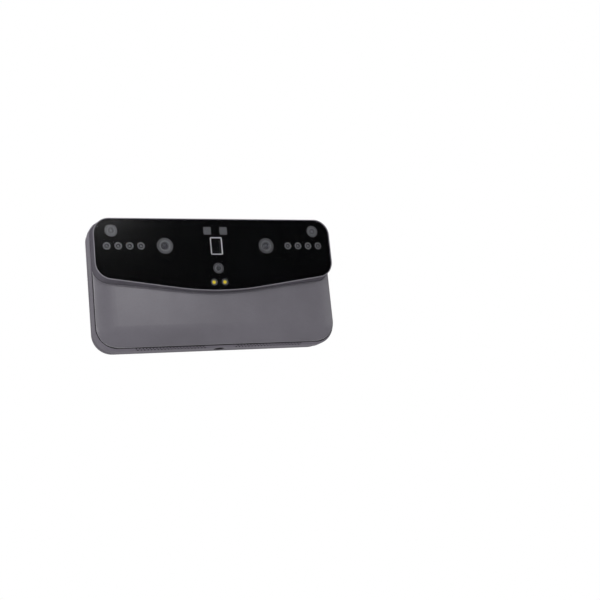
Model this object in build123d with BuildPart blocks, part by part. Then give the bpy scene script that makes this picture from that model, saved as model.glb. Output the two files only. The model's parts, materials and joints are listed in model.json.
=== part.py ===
"""Handheld three-d scanner: a screen on one side, a scanning head above a grip on the other.

The part stands upright on its base. X runs along its width, Z is up, and the scan side faces -Y.
Lengths are in millimetres. Depths are measured from the screen face towards the scan side.
"""

import os
from math import asin, cos, degrees, radians, sin, sqrt, tan

from build123d import *

os.makedirs("parts", exist_ok=True)

# Overall body
body_width = 177.0
body_height = 92.6
body_thickness = 33.0
body_corner_radius = 15.4
body_top_radius = 11.0
least_corner_radius = 1.5
shell_wall = 2.0
seam_gap = 0.2
seat_clearance = 0.1
running_clearance = 0.05
cut_overrun = 4.0

# Front frame round the screen
frame_depth = 11.7
frame_bulge_depth = 8.0
frame_front_inset = 1.6
frame_rear_inset = 1.0
frame_bulge_inset = 0.6
frame_lip = 0.6
frame_wall = 2.5
frame_ledge_width = 5.0
frame_ledge_thickness = 1.6
tongue_thickness = 1.1
tongue_reach = 1.2

# Screen
glass_thickness = 0.9
glass_recess = 0.2
glass_gap = 0.15
glass_edge_radius = 0.35
gasket_width = 2.4
gasket_thickness = 0.3
panel_border = 9.6
panel_thickness = 1.2

# Middle plate and its screws
plate_thickness = 1.2
plate_slot_length = 40.0
plate_slot_width = 3.0
plate_slot_rise = 6.0
small_screw_radius = 0.95
small_screw_head_radius = 1.6
small_screw_head_height = 1.0
plate_screw_bite = 1.1
plate_screw_inset = 5.4
plate_screw_end_inset = 33.0
plate_screw_side_inset = 24.0

# Battery packs
battery_side_inset = 17.0
battery_rise_inset = 17.0
battery_middle_gap = 18.0
battery_thickness = 6.2
battery_corner_radius = 3.0
battery_edge_radius = 1.0

# Main board, its standoffs and its screws
board_front_depth = 14.4
board_thickness = 1.6
board_side_inset = 5.0
board_base_rise = 12.0
board_top_drop = 12.0
board_corner_radius = 4.0
standoff_radius = 2.6
standoff_sides = 6
standoff_side_inset = 4.0
standoff_rise_inset = 4.0
board_screw_bite = 4.0

# Processor, thermal pad and heat sink
chip_width = 22.0
chip_height = 1.2
cooler_offset = -36.0
cooler_rise = 36.0
pad_thickness = 0.5
sink_width = 44.0
sink_length = 30.0
sink_base = 1.2
sink_fin_height = 2.6
sink_fin_thickness = 0.9
sink_fin_count = 11

# Cooling fan
fan_offset = 36.0
fan_rise = 34.0
fan_width = 40.0
fan_corner_radius = 6.0
fan_floor = 0.8
fan_chamber_height = 4.2
fan_lid_thickness = 0.6
fan_wall = 1.2
fan_inlet_radius = 11.0
fan_outlet_width = 24.0
fan_pin_radius = 0.8
rotor_hub_radius = 5.5
rotor_tip_radius = 14.5
rotor_height = 3.2
rotor_gap = 0.4
rotor_blade_count = 11
rotor_blade_thickness = 0.8
rotor_blade_lean = 38.0

# USB receptacle in the side wall
usb_rise = 47.0
usb_shell_width = 8.94
usb_shell_height = 3.26
usb_shell_length = 7.35
usb_opening_width = 8.34
usb_opening_height = 2.56
usb_cavity_depth = 6.2
usb_tongue_width = 6.69
usb_tongue_thickness = 0.7
usb_tongue_setback = 0.7
usb_mouth_setback = 0.4

# Side key and its switch
key_drop = 32.0
key_length = 14.0
key_width = 2.8
key_clearance = 0.15
key_edge_radius = 0.3
key_flange = 0.8
key_flange_gap = 0.2
key_flange_thickness = 1.0
key_travel = 0.4
switch_gap = 0.1
switch_nub_length = 1.0
switch_nub_width = 2.4
switch_nub_thickness = 1.4
switch_length = 6.0
switch_reach = 4.0
switch_thickness = 3.0

# Middle housing with the base vents and the tripod boss
housing_depth = 10.1
housing_front_round = 0.5
slope_depth = 1.5
slope_base_rise = 1.5
slope_side_inset = 0.25
vent_radius = 0.5
vent_pitch = 2.4
vent_first = 11.6
vent_end_inset = 27.2
vent_row_step = 1.1
mesh_thickness = 0.3
mesh_margin = 0.45
bush_radius = 3.9
bush_bore_radius = 3.175
bush_length = 8.0
bush_recess = 0.2
boss_width = 13.0
boss_roof = 1.6

# Grip cover
cover_gap = 0.25
grip_crest_depth = 28.0
grip_crown_radius = 1500.0
grip_edge_radius = 45.0
grip_edge_width = 14.8
grip_toe_radius = 30.0
grip_toe_width = 14.8
grip_edge_overrun = 3.0

# Scanning head
led_row_drop = 20.9
head_base_inset = 0.6
head_rim_inset = 0.7
head_top_lean = 0.7
head_corner_radius = 11.5
lip_drop = 33.0
lip_flare = 0.35
lip_base_slope = 6.5
lip_rim_slope = 8.3
lip_arc_radius = 212.0
lip_corner_radius = 12.0
rim_width = 0.5
rim_chamfer = 0.2

# Window in the head
window_recess = 0.15
window_gap = 0.1
window_thickness = 1.1
window_edge_radius = 0.3
mask_thickness = 0.25
window_gasket_width = 2.0
window_gasket_thickness = 0.3
window_ledge_width = 2.6
window_ledge_thickness = 1.6

# Optical bench
bench_thickness = 2.0
bench_gap = 0.3
barrel_reach = 5.35
optics_gap = 0.15
optics_board_thickness = 1.0
boss_radius = 3.0
boss_pilot_depth = 3.0
bench_boss_side_inset = 5.4
bench_boss_side_drop = 11.5
bench_boss_top_inset = 28.0
bench_boss_top_drop = 6.0
cable_slot_length = 9.0
cable_slot_width = 2.4

# Openings in the mask are this much wider than what looks through them
aperture_margin = 0.1

# Lenses sit a little inside their barrels, with a rounded front
lens_recess = 0.2
lens_dome_share = 0.8

# Stereo cameras
camera_offset_share = 0.4255
camera_radius = 5.8
camera_base_width = 15.0
camera_base_height = 1.6
camera_lens_radius = 3.1
camera_lens_depth = 1.5
camera_groove_radius = 4.5
camera_groove_width = 0.5
camera_groove_depth = 0.4

# Texture camera
texture_drop = 16.4
texture_radius = 3.9
texture_base_width = 9.6
texture_base_height = 1.4
texture_lens_radius = 2.0
texture_lens_depth = 1.2
texture_groove_radius = 3.0
texture_groove_width = 0.4
texture_groove_depth = 0.3

# Pattern projector
projector_width = 9.0
projector_height = 13.0
projector_trim_width = 0.9
projector_trim_thickness = 0.8
projector_corner_radius = 1.4
projector_body_margin = 1.6

# Square laser modules
laser_offset = 6.0
laser_rise = 11.1
laser_width = 5.6
laser_corner_radius = 0.4
laser_board_margin = 1.4

# Lamp rows with a larger corner lamp
lamp_last_inset = 9.9
lamp_pitch_share = 0.0902
lamp_count = 4
lamp_radius = 2.7
lamp_dome_radius = 1.3
lamp_dome_height = 0.35
lamp_board_margin = 1.5
corner_lamp_inset = 13.5
corner_lamp_rise = 11.0
corner_lamp_radius = 4.4
corner_lamp_dome_radius = 2.6
corner_lamp_dome_height = 0.5
corner_board_margin = 1.0

# Flash lamps
flash_offset = 4.0
flash_drop = 26.5
flash_radius = 2.5
flash_core_radius = 1.3
flash_core_depth = 0.4
flash_board_margin = 1.2

# Depths and places worked out from the sizes above
half_width = body_width / 2
half_height = body_height / 2
half_thickness = body_thickness / 2
pocket_inset = frame_front_inset + frame_lip
glass_inset = pocket_inset + glass_gap
opening_inset = pocket_inset + frame_ledge_width
cavity_inset = frame_rear_inset + frame_wall
glass_rear_depth = glass_recess + glass_thickness
ledge_front_depth = glass_rear_depth + gasket_thickness
ledge_rear_depth = ledge_front_depth + frame_ledge_thickness
plate_rear_depth = ledge_rear_depth + plate_thickness
board_rear_depth = board_front_depth + board_thickness
housing_front_depth = frame_depth + seam_gap
housing_rear_depth = housing_front_depth + housing_depth
cover_front_depth = housing_rear_depth + seam_gap
tongue_inset = shell_wall + seat_clearance
cover_tongue_inset = tongue_inset + slope_side_inset
cover_inset = slope_side_inset + cover_gap
cover_base_inset = slope_base_rise + cover_gap
slope_front_depth = housing_rear_depth - slope_depth
base_depth = (housing_front_depth + housing_front_round + slope_front_depth) / 2
window_rear_depth = body_thickness - window_recess - window_thickness
mask_rear_depth = window_rear_depth - mask_thickness
window_ledge_front = mask_rear_depth - window_gasket_thickness
window_ledge_rear = window_ledge_front - window_ledge_thickness
optics_front_depth = mask_rear_depth - optics_gap
bench_front_depth = optics_front_depth - barrel_reach
bench_rear_depth = bench_front_depth - bench_thickness
optics_board_front = bench_front_depth + optics_board_thickness
optics_reach = optics_front_depth - optics_board_front
sink_fin_pitch = (sink_width - sink_fin_thickness) / (sink_fin_count - 1)
led_row_rise = body_height - led_row_drop
key_rise = body_height - key_drop
camera_offset = half_width * camera_offset_share
lamp_pitch = half_width * lamp_pitch_share
corner_lamp_offset = half_width - corner_lamp_inset
sides = {"left": -1, "right": 1}


def at_depth(depth, rise=0.0):
    """Plane facing the scan side, so far behind the screen face, with its origin at a height."""
    return Plane(origin=(0, half_thickness - depth, rise), x_dir=(1, 0, 0), z_dir=(0, -1, 0))


def side_plane(side, setback, depth, rise):
    """Plane facing out of a side wall, with its first axis upwards."""
    x = side * (half_width - setback)
    return Plane(origin=(x, half_thickness - depth, rise), x_dir=(0, 0, 1), z_dir=(side, 0, 0))


def draw_raised(inset, base_inset):
    """Body outline drawn in by one inset at its sides and top and another at its base."""
    side = half_width - inset
    top = half_height - inset
    base = base_inset - half_height
    base_radius = max(body_corner_radius - inset, least_corner_radius)
    top_radius = max(body_top_radius - inset, least_corner_radius)
    with BuildLine() as outline:
        FilletPolyline(
            (-side, base),
            (-side, top),
            (side, top),
            (side, base),
            radius=[base_radius, top_radius, top_radius, base_radius],
            close=True,
        )
    make_face(outline.edges())


def draw_body(inset):
    """Body outline drawn in by an inset, in the current sketch."""
    draw_raised(inset, inset)


def slope_form(shrink):
    """Rear edge of the housing, sloping in most at the base, drawn in by a shrink."""
    with BuildPart() as form:
        with BuildSketch(at_depth(slope_front_depth, half_height)):
            draw_body(shrink)
        with BuildSketch(at_depth(housing_rear_depth, half_height)):
            draw_raised(shrink + slope_side_inset, shrink + slope_base_rise)
        loft(ruled=True)
    return form.part


def slope_plane(lift):
    """Plane along the middle of the sloped base edge, lifted, facing out and down."""
    y = half_thickness - slope_front_depth - slope_depth / 2
    z = slope_base_rise / 2 + lift
    return Plane(origin=(0, y, z), x_dir=(1, 0, 0), z_dir=(0, -slope_base_rise, -slope_depth))


def draw_head(rise_share, shrink):
    """Head outline at a share of the way from its base to its rim, in the current sketch."""
    side = half_width - head_base_inset - (head_rim_inset - head_base_inset) * rise_share - shrink
    top = body_height - head_base_inset - head_top_lean * rise_share - shrink
    lip = led_row_rise - lip_drop - lip_flare * (1 - rise_share) + shrink
    slope = radians(lip_base_slope + (lip_rim_slope - lip_base_slope) * rise_share)
    arc = lip_arc_radius - shrink
    turn_x = arc * sin(slope)
    turn_z = lip + arc * (1 - cos(slope))
    side_z = turn_z + (side - turn_x) * tan(slope)
    low_radius = lip_corner_radius - shrink
    top_radius = head_corner_radius - shrink
    with BuildLine() as outline:
        FilletPolyline(
            (-turn_x, turn_z),
            (-side, side_z),
            (-side, top),
            (side, top),
            (side, side_z),
            (turn_x, turn_z),
            radius=[low_radius, top_radius, top_radius, low_radius],
        )
        ThreePointArc((turn_x, turn_z), (0, lip), (-turn_x, turn_z))
    make_face(outline.edges())


def head_form(*sections):
    """Drafted block of the head through sections, each a depth and how far it is drawn in."""
    with BuildPart() as form:
        for depth, shrink in sections:
            with BuildSketch(at_depth(depth)):
                rise = depth - cover_front_depth
                draw_head(rise / (body_thickness - cover_front_depth), shrink)
        loft(ruled=True)
    return form.part


def head_plate(shrink, front_depth, thickness):
    """Flat plate with the outline of the head's rim, drawn in by a shrink."""
    with BuildPart() as plate:
        with BuildSketch(at_depth(front_depth)):
            draw_head(1, shrink)
        extrude(amount=thickness)
    return plate.part


def grip_form(shrink, front_depth):
    """Crowned pillow of the grip, drawn in by a shrink, with a rolled-in lower edge."""
    crown = grip_crown_radius - shrink
    edge = grip_edge_radius - shrink
    crest = grip_crest_depth - shrink - half_thickness
    floor = front_depth - cut_overrun - half_thickness
    flat_half = half_width - cover_inset - grip_edge_width
    start = asin(flat_half / grip_crown_radius)
    end = asin(sin(start) + (grip_edge_width + grip_edge_overrun) / grip_edge_radius)
    middle = (start + end) / 2
    crown_x = crown * sin(start)
    crown_y = crest - crown * (1 - cos(start))
    edge_points = [
        (crown_x + edge * (sin(a) - sin(start)), crown_y - edge * (cos(start) - cos(a)))
        for a in (middle, end)
    ]
    (mid_x, mid_y), (end_x, end_y) = edge_points
    toe_angle = degrees(asin((grip_toe_width + grip_edge_overrun) / grip_toe_radius))
    path_y = half_thickness - grip_crest_depth
    bend_z = cover_base_inset + grip_toe_width
    with BuildPart() as form:
        with BuildLine(Plane.YZ) as path:
            Line((path_y, body_height), (path_y, bend_z))
            CenterArc((path_y + grip_toe_radius, bend_z), grip_toe_radius, 180, toe_angle)
        with BuildSketch(Plane(origin=(0, 0, body_height), x_dir=(1, 0, 0), z_dir=(0, 0, -1))):
            with BuildLine():
                Line((-end_x, floor), (-end_x, end_y))
                ThreePointArc((-end_x, end_y), (-mid_x, mid_y), (-crown_x, crown_y))
                ThreePointArc((-crown_x, crown_y), (0, crest), (crown_x, crown_y))
                ThreePointArc((crown_x, crown_y), (mid_x, mid_y), (end_x, end_y))
                Line((end_x, end_y), (end_x, floor))
                Line((end_x, floor), (-end_x, floor))
            make_face()
        sweep(path=path.wires()[0])
        with BuildSketch(at_depth(front_depth, half_height)):
            draw_raised(cover_inset + shrink, cover_base_inset + shrink)
        extrude(amount=body_thickness, mode=Mode.INTERSECT)
    return form.part


def keep(piece, label):
    """Name a finished piece and write it."""
    piece.part.label = label
    export_step(piece.part, f"parts/{label}.step")


def plate_screw_spots(radius):
    """Circles at the middle plate's screws, in the current sketch."""
    side_run = body_width - 2 * plate_screw_inset
    side_rise = body_height - 2 * plate_screw_side_inset
    with GridLocations(side_run, side_rise, 2, 2):
        Circle(radius)
    end_run = body_width - 2 * plate_screw_end_inset
    end_rise = body_height - 2 * plate_screw_inset
    with GridLocations(end_run, end_rise, 2, 2):
        Circle(radius)


def board_screw_spots():
    """Places of the main board's screws, about the middle of the board."""
    run = body_width - 2 * (board_side_inset + standoff_side_inset)
    rise = body_height - board_base_rise - board_top_drop - 2 * standoff_rise_inset
    return GridLocations(run, rise, 2, 2)


def bench_screw_spots():
    """Places of the optical bench's screws, about the lamp row."""
    top = (half_width - bench_boss_top_inset, led_row_drop - bench_boss_top_drop)
    low = (half_width - bench_boss_side_inset, -bench_boss_side_drop)
    return Locations(*[(side * x, z) for side in sides.values() for x, z in (top, low)])


board_mid_rise = (body_height + board_base_rise - board_top_drop) / 2

# Front frame: a bulged ring with a pocket for the glass and a tongue for the housing
with BuildPart() as front_frame:
    frame_sections = (
        (0, frame_front_inset),
        (frame_bulge_depth, frame_bulge_inset),
        (frame_depth, frame_rear_inset),
    )
    for section_depth, section_inset in frame_sections:
        with BuildSketch(at_depth(section_depth, half_height)):
            draw_body(section_inset)
    loft()
    with BuildSketch(at_depth(frame_depth, half_height)):
        draw_body(tongue_inset)
    extrude(amount=tongue_reach)
    with BuildSketch(at_depth(0, half_height)):
        draw_body(pocket_inset)
    extrude(amount=ledge_front_depth, mode=Mode.SUBTRACT)
    with BuildSketch(at_depth(0, half_height)):
        draw_body(opening_inset)
    extrude(amount=ledge_rear_depth, mode=Mode.SUBTRACT)
    with BuildSketch(at_depth(ledge_rear_depth, half_height)):
        draw_body(cavity_inset)
    extrude(amount=frame_depth + tongue_reach - ledge_rear_depth, mode=Mode.SUBTRACT)
    with BuildSketch(at_depth(ledge_rear_depth, half_height)):
        plate_screw_spots(small_screw_radius + running_clearance)
    extrude(amount=-plate_screw_bite, mode=Mode.SUBTRACT)
    with BuildSketch(at_depth(frame_depth)):
        with Locations((0, tongue_inset + tongue_thickness / 2)):
            Rectangle(boss_width + 2 * shell_wall, tongue_thickness + shell_wall)
    extrude(amount=tongue_reach, mode=Mode.SUBTRACT)
keep(front_frame, "front_frame")

# Screen glass with a softened front edge
with BuildPart() as screen_glass:
    with BuildSketch(at_depth(glass_recess, half_height)):
        draw_body(glass_inset)
    extrude(amount=glass_thickness)
    fillet(screen_glass.faces().sort_by(Axis.Y)[-1].edges(), glass_edge_radius)
keep(screen_glass, "screen_glass")

# Adhesive gasket between the glass and the frame's ledge
with BuildPart() as screen_gasket:
    with BuildSketch(at_depth(glass_rear_depth, half_height)):
        draw_body(glass_inset)
        with BuildSketch(mode=Mode.SUBTRACT):
            draw_body(glass_inset + gasket_width)
    extrude(amount=gasket_thickness)
keep(screen_gasket, "screen_gasket")

# Display panel bonded to the back of the glass
with BuildPart() as display_panel:
    with BuildSketch(at_depth(glass_rear_depth, half_height)):
        draw_body(glass_inset + panel_border)
    extrude(amount=panel_thickness)
keep(display_panel, "display_panel")

# Middle plate screwed to the frame's ledge, with a slot for the display's ribbon
with BuildPart() as mid_plate:
    with BuildSketch(at_depth(ledge_rear_depth, half_height)):
        draw_body(cavity_inset + seat_clearance)
        with Locations((0, plate_slot_rise + cavity_inset - half_height)):
            SlotOverall(plate_slot_length, plate_slot_width, mode=Mode.SUBTRACT)
        with BuildSketch(mode=Mode.SUBTRACT):
            plate_screw_spots(small_screw_radius + running_clearance)
    extrude(amount=plate_thickness)
keep(mid_plate, "mid_plate")

with BuildPart() as plate_screws:
    with BuildSketch(at_depth(plate_rear_depth, half_height)):
        plate_screw_spots(small_screw_head_radius)
    extrude(amount=small_screw_head_height)
    with BuildSketch(at_depth(plate_rear_depth, half_height)):
        plate_screw_spots(small_screw_radius)
    extrude(amount=-plate_thickness - plate_screw_bite)
keep(plate_screws, "plate_screws")

# Battery packs glued to the middle plate
battery_width = half_width - battery_side_inset - battery_middle_gap / 2
battery_height = body_height - 2 * battery_rise_inset
battery_offset = (battery_width + battery_middle_gap) / 2
for side_name, side in sides.items():
    with BuildPart() as battery:
        with BuildSketch(at_depth(plate_rear_depth, half_height)):
            with Locations((side * battery_offset, 0)):
                RectangleRounded(battery_width, battery_height, battery_corner_radius)
        extrude(amount=battery_thickness)
        fillet(battery.faces().sort_by(Axis.Y)[0].edges(), battery_edge_radius)
    keep(battery, f"{side_name}_battery")

# Hexagonal standoffs from the middle plate to the main board
with BuildPart() as board_standoffs:
    with BuildSketch(at_depth(plate_rear_depth, board_mid_rise)):
        with board_screw_spots():
            RegularPolygon(standoff_radius, standoff_sides)
    extrude(amount=board_front_depth - plate_rear_depth)
    with BuildSketch(at_depth(board_front_depth, board_mid_rise)):
        with board_screw_spots():
            Circle(small_screw_radius + running_clearance)
    extrude(amount=-board_screw_bite, mode=Mode.SUBTRACT)
keep(board_standoffs, "board_standoffs")

# Main board with its processor
with BuildPart() as main_board:
    with BuildSketch(at_depth(board_front_depth, board_mid_rise)):
        RectangleRounded(
            body_width - 2 * board_side_inset,
            body_height - board_base_rise - board_top_drop,
            board_corner_radius,
        )
        with board_screw_spots():
            Circle(small_screw_radius + running_clearance, mode=Mode.SUBTRACT)
    extrude(amount=board_thickness)
    with BuildSketch(at_depth(board_rear_depth, cooler_rise)):
        with Locations((cooler_offset, 0)):
            Rectangle(chip_width, chip_width)
    extrude(amount=chip_height)
keep(main_board, "main_board")

with BuildPart() as board_screws:
    with BuildSketch(at_depth(board_rear_depth, board_mid_rise)):
        with board_screw_spots():
            Circle(small_screw_head_radius)
    extrude(amount=small_screw_head_height)
    with BuildSketch(at_depth(board_rear_depth, board_mid_rise)):
        with board_screw_spots():
            Circle(small_screw_radius)
    extrude(amount=-board_thickness - board_screw_bite)
keep(board_screws, "board_screws")

# Thermal pad and finned heat sink on the processor
pad_front_depth = board_rear_depth + chip_height
sink_front_depth = pad_front_depth + pad_thickness
with BuildPart() as thermal_pad:
    with BuildSketch(at_depth(pad_front_depth, cooler_rise)):
        with Locations((cooler_offset, 0)):
            Rectangle(chip_width, chip_width)
    extrude(amount=pad_thickness)
keep(thermal_pad, "thermal_pad")

with BuildPart() as heat_sink:
    with BuildSketch(at_depth(sink_front_depth, cooler_rise)):
        with Locations((cooler_offset, 0)):
            Rectangle(sink_width, sink_length)
    extrude(amount=sink_base)
    with BuildSketch(at_depth(sink_front_depth + sink_base, cooler_rise)):
        with Locations((cooler_offset, 0)):
            with GridLocations(sink_fin_pitch, 0, sink_fin_count, 1):
                Rectangle(sink_fin_thickness, sink_length)
    extrude(amount=sink_fin_height)
keep(heat_sink, "heat_sink")

# Fan housing: a floor, a scroll wall open towards the base vents, and the rotor's pin
fan_floor_depth = board_rear_depth + fan_floor
fan_lid_depth = fan_floor_depth + fan_chamber_height
with BuildPart() as fan_housing:
    with BuildSketch(at_depth(board_rear_depth, fan_rise)):
        with Locations((fan_offset, 0)):
            RectangleRounded(fan_width, fan_width, fan_corner_radius)
    extrude(amount=fan_floor + fan_chamber_height)
    with BuildSketch(at_depth(fan_floor_depth, fan_rise)):
        with Locations((fan_offset, 0)):
            Circle(fan_width / 2 - fan_wall)
        with Locations((fan_offset, -fan_width / 2)):
            Rectangle(fan_outlet_width, fan_width)
    extrude(amount=fan_chamber_height, mode=Mode.SUBTRACT)
    with BuildSketch(at_depth(fan_floor_depth, fan_rise)):
        with Locations((fan_offset, 0)):
            Circle(fan_pin_radius)
    extrude(amount=fan_chamber_height)
keep(fan_housing, "fan_housing")

with BuildPart() as fan_lid:
    with BuildSketch(at_depth(fan_lid_depth, fan_rise)):
        with Locations((fan_offset, 0)):
            RectangleRounded(fan_width, fan_width, fan_corner_radius)
            Circle(fan_inlet_radius, mode=Mode.SUBTRACT)
    extrude(amount=fan_lid_thickness)
keep(fan_lid, "fan_lid")

# Fan rotor: a hub with leaning blades, running on the housing's pin
blade_root = rotor_hub_radius - rotor_blade_thickness
blade_turn = radians(rotor_blade_lean)
blade_length = sqrt(rotor_tip_radius**2 - (blade_root * sin(blade_turn)) ** 2) - blade_root * cos(blade_turn)
with BuildPart() as fan_rotor:
    with BuildSketch(at_depth(fan_floor_depth + rotor_gap, fan_rise)):
        with Locations((fan_offset, 0)):
            Circle(rotor_hub_radius)
            with PolarLocations(blade_root, rotor_blade_count):
                Rectangle(
                    blade_length,
                    rotor_blade_thickness,
                    rotation=rotor_blade_lean,
                    align=(Align.MIN, Align.CENTER),
                )
            Circle(fan_pin_radius + running_clearance, mode=Mode.SUBTRACT)
    extrude(amount=rotor_height)
keep(fan_rotor, "fan_rotor")

# USB receptacle standing on the main board, with its tongue
usb_depth = board_rear_depth + usb_shell_height / 2
with BuildPart() as usb_receptacle:
    with BuildSketch(side_plane(1, usb_mouth_setback, usb_depth, usb_rise)):
        SlotOverall(usb_shell_width, usb_shell_height)
    extrude(amount=-usb_shell_length)
    with BuildSketch(side_plane(1, usb_mouth_setback, usb_depth, usb_rise)):
        SlotOverall(usb_opening_width, usb_opening_height)
    extrude(amount=-usb_cavity_depth, mode=Mode.SUBTRACT)
    with BuildSketch(side_plane(1, usb_mouth_setback + usb_tongue_setback, usb_depth, usb_rise)):
        Rectangle(usb_tongue_width, usb_tongue_thickness)
    extrude(amount=usb_tongue_setback - usb_cavity_depth)
keep(usb_receptacle, "usb_receptacle")

# Side key: a long cap with a flange that stays behind the wall
key_flange_setback = shell_wall + key_flange_gap
with BuildPart() as side_key:
    with BuildSketch(side_plane(-1, 0, base_depth, key_rise)):
        SlotOverall(key_length, key_width)
    extrude(amount=-key_flange_setback)
    fillet(side_key.faces().sort_by(Axis.X)[0].edges(), key_edge_radius)
    with BuildSketch(side_plane(-1, key_flange_setback, base_depth, key_rise)):
        SlotOverall(key_length + 2 * key_flange, key_width + 2 * key_flange)
    extrude(amount=-key_flange_thickness)
keep(side_key, "side_key")

# Switch on the main board behind the key
switch_tip_setback = key_flange_setback + key_flange_thickness + key_travel + switch_gap
switch_depth = board_rear_depth + switch_thickness / 2
with BuildPart() as key_switch:
    with BuildSketch(side_plane(-1, switch_tip_setback, switch_depth, key_rise)):
        Rectangle(switch_nub_width, switch_nub_thickness)
    extrude(amount=-switch_nub_length)
    with BuildSketch(side_plane(-1, switch_tip_setback + switch_nub_length, switch_depth, key_rise)):
        Rectangle(switch_length, switch_thickness)
    extrude(amount=-switch_reach)
keep(key_switch, "key_switch")

# Middle housing: the side wall with the key slot, the USB slot, the base vents and the tripod boss
base_y = half_thickness - base_depth
boss_height = bush_recess + bush_length + boss_roof
vent_steps = int((half_width - vent_end_inset - vent_first) / vent_pitch)
vent_span = vent_pitch * vent_steps
row_share = 0.5
slope_outer = slope_form(0)
slope_inner = slope_form(shell_wall)
with BuildPart() as mid_housing:
    with BuildSketch(at_depth(housing_front_depth, half_height)):
        draw_body(0)
    extrude(amount=housing_depth - slope_depth)
    fillet(mid_housing.faces().sort_by(Axis.Y)[-1].edges(), housing_front_round)
    add(slope_outer)
    with BuildSketch(at_depth(housing_front_depth, half_height)):
        draw_body(shell_wall)
    extrude(amount=housing_depth - slope_depth, mode=Mode.SUBTRACT)
    add(slope_inner, mode=Mode.SUBTRACT)
    with BuildSketch(Plane.XY.offset(shell_wall)):
        with Locations((0, half_thickness - housing_rear_depth)):
            Rectangle(boss_width, housing_depth, align=(Align.CENTER, Align.MIN))
    extrude(amount=boss_height - shell_wall)
    with BuildSketch(Plane.XY):
        with Locations((0, base_y)):
            Circle(bush_radius + running_clearance)
    extrude(amount=bush_recess + bush_length, mode=Mode.SUBTRACT)
    for row in range(2):
        row_rise = (row - row_share) * vent_row_step
        row_start = vent_first + vent_span / 2 + row * vent_pitch / 2
        with BuildSketch(slope_plane(0)):
            with Locations((-row_start, row_rise), (row_start, row_rise)):
                with GridLocations(vent_pitch, 0, vent_steps + 1, 1):
                    Circle(vent_radius)
        extrude(amount=-shell_wall, mode=Mode.SUBTRACT)
    with BuildSketch(side_plane(1, 0, usb_depth, usb_rise)):
        SlotOverall(usb_shell_width + 2 * seat_clearance, usb_shell_height + 2 * seat_clearance)
    extrude(amount=-shell_wall, mode=Mode.SUBTRACT)
    with BuildSketch(side_plane(-1, 0, base_depth, key_rise)):
        SlotOverall(key_length + 2 * key_clearance, key_width + 2 * key_clearance)
    extrude(amount=-shell_wall, mode=Mode.SUBTRACT)
keep(mid_housing, "mid_housing")

# Fine mesh lying inside the sloped edge over the vents
with BuildPart() as vent_mesh:
    mesh_length = vent_span + vent_pitch + 2 * mesh_margin
    mesh_width = vent_row_step + 2 * vent_radius
    mesh_middle = vent_first + vent_span / 2 + vent_pitch / 4
    with BuildSketch(slope_plane(shell_wall)):
        with Locations((-mesh_middle, 0), (mesh_middle, 0)):
            Rectangle(mesh_length, mesh_width)
    extrude(amount=-mesh_thickness)
keep(vent_mesh, "vent_mesh")

# Threaded bush for a tripod
with BuildPart() as tripod_bush:
    with BuildSketch(Plane.XY.offset(bush_recess)):
        with Locations((0, base_y)):
            Circle(bush_radius)
            Circle(bush_bore_radius, mode=Mode.SUBTRACT)
    extrude(amount=bush_length)
keep(tripod_bush, "tripod_bush")

# Grip cover: a crowned shell cut away under the head, with a tongue into the housing
grip_outer = grip_form(0, cover_front_depth)
grip_core = grip_form(shell_wall, cover_front_depth - cut_overrun)
head_room = head_form(
    (cover_front_depth - cut_overrun, -seam_gap), (body_thickness + cut_overrun, -seam_gap)
)
with BuildPart() as rear_grip_cover:
    add(grip_outer)
    add(grip_core, mode=Mode.SUBTRACT)
    with BuildSketch(at_depth(cover_front_depth, half_height)):
        draw_body(cover_tongue_inset)
        with BuildSketch(mode=Mode.SUBTRACT):
            draw_body(cover_tongue_inset + tongue_thickness)
    extrude(amount=-tongue_reach)
    with BuildSketch(at_depth(cover_front_depth)):
        with Locations((0, body_corner_radius / 2)):
            Rectangle(body_width, body_corner_radius)
    extrude(amount=-tongue_reach, mode=Mode.SUBTRACT)
    add(head_room, mode=Mode.SUBTRACT)
    with BuildSketch(at_depth(cover_front_depth, led_row_rise)):
        Rectangle(body_width, led_row_drop, align=(Align.CENTER, Align.MIN))
    extrude(amount=body_thickness, both=True, mode=Mode.SUBTRACT)
keep(rear_grip_cover, "rear_grip_cover")

# Head shell: drafted walls, a pocket and ledge for the window, and bosses for the bench
head_outer = head_form(
    (cover_front_depth, 0), (body_thickness - rim_chamfer, 0), (body_thickness, rim_chamfer)
)
head_core = head_form((cover_front_depth - cut_overrun, shell_wall), (window_ledge_rear, shell_wall))
window_pocket = head_plate(rim_width, window_ledge_front, body_thickness)
window_opening = head_plate(rim_width + window_ledge_width, window_ledge_rear - cut_overrun, body_thickness)
with BuildPart() as scan_head_shell:
    add(head_outer)
    add(head_core, mode=Mode.SUBTRACT)
    add(window_pocket, mode=Mode.SUBTRACT)
    add(window_opening, mode=Mode.SUBTRACT)
    with BuildSketch(at_depth(bench_front_depth, led_row_rise)):
        with bench_screw_spots():
            Circle(boss_radius)
    extrude(amount=window_ledge_front - bench_front_depth)
    with BuildSketch(at_depth(bench_front_depth, led_row_rise)):
        with bench_screw_spots():
            Circle(small_screw_radius + running_clearance)
    extrude(amount=boss_pilot_depth, mode=Mode.SUBTRACT)
keep(scan_head_shell, "scan_head_shell")

# Window glass with a softened outer edge
window_plate = head_plate(rim_width + window_gap, window_rear_depth, window_thickness)
with BuildPart() as scan_window:
    add(window_plate)
    fillet(scan_window.faces().sort_by(Axis.Y)[0].edges(), window_edge_radius)
keep(scan_window, "scan_window")

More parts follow.
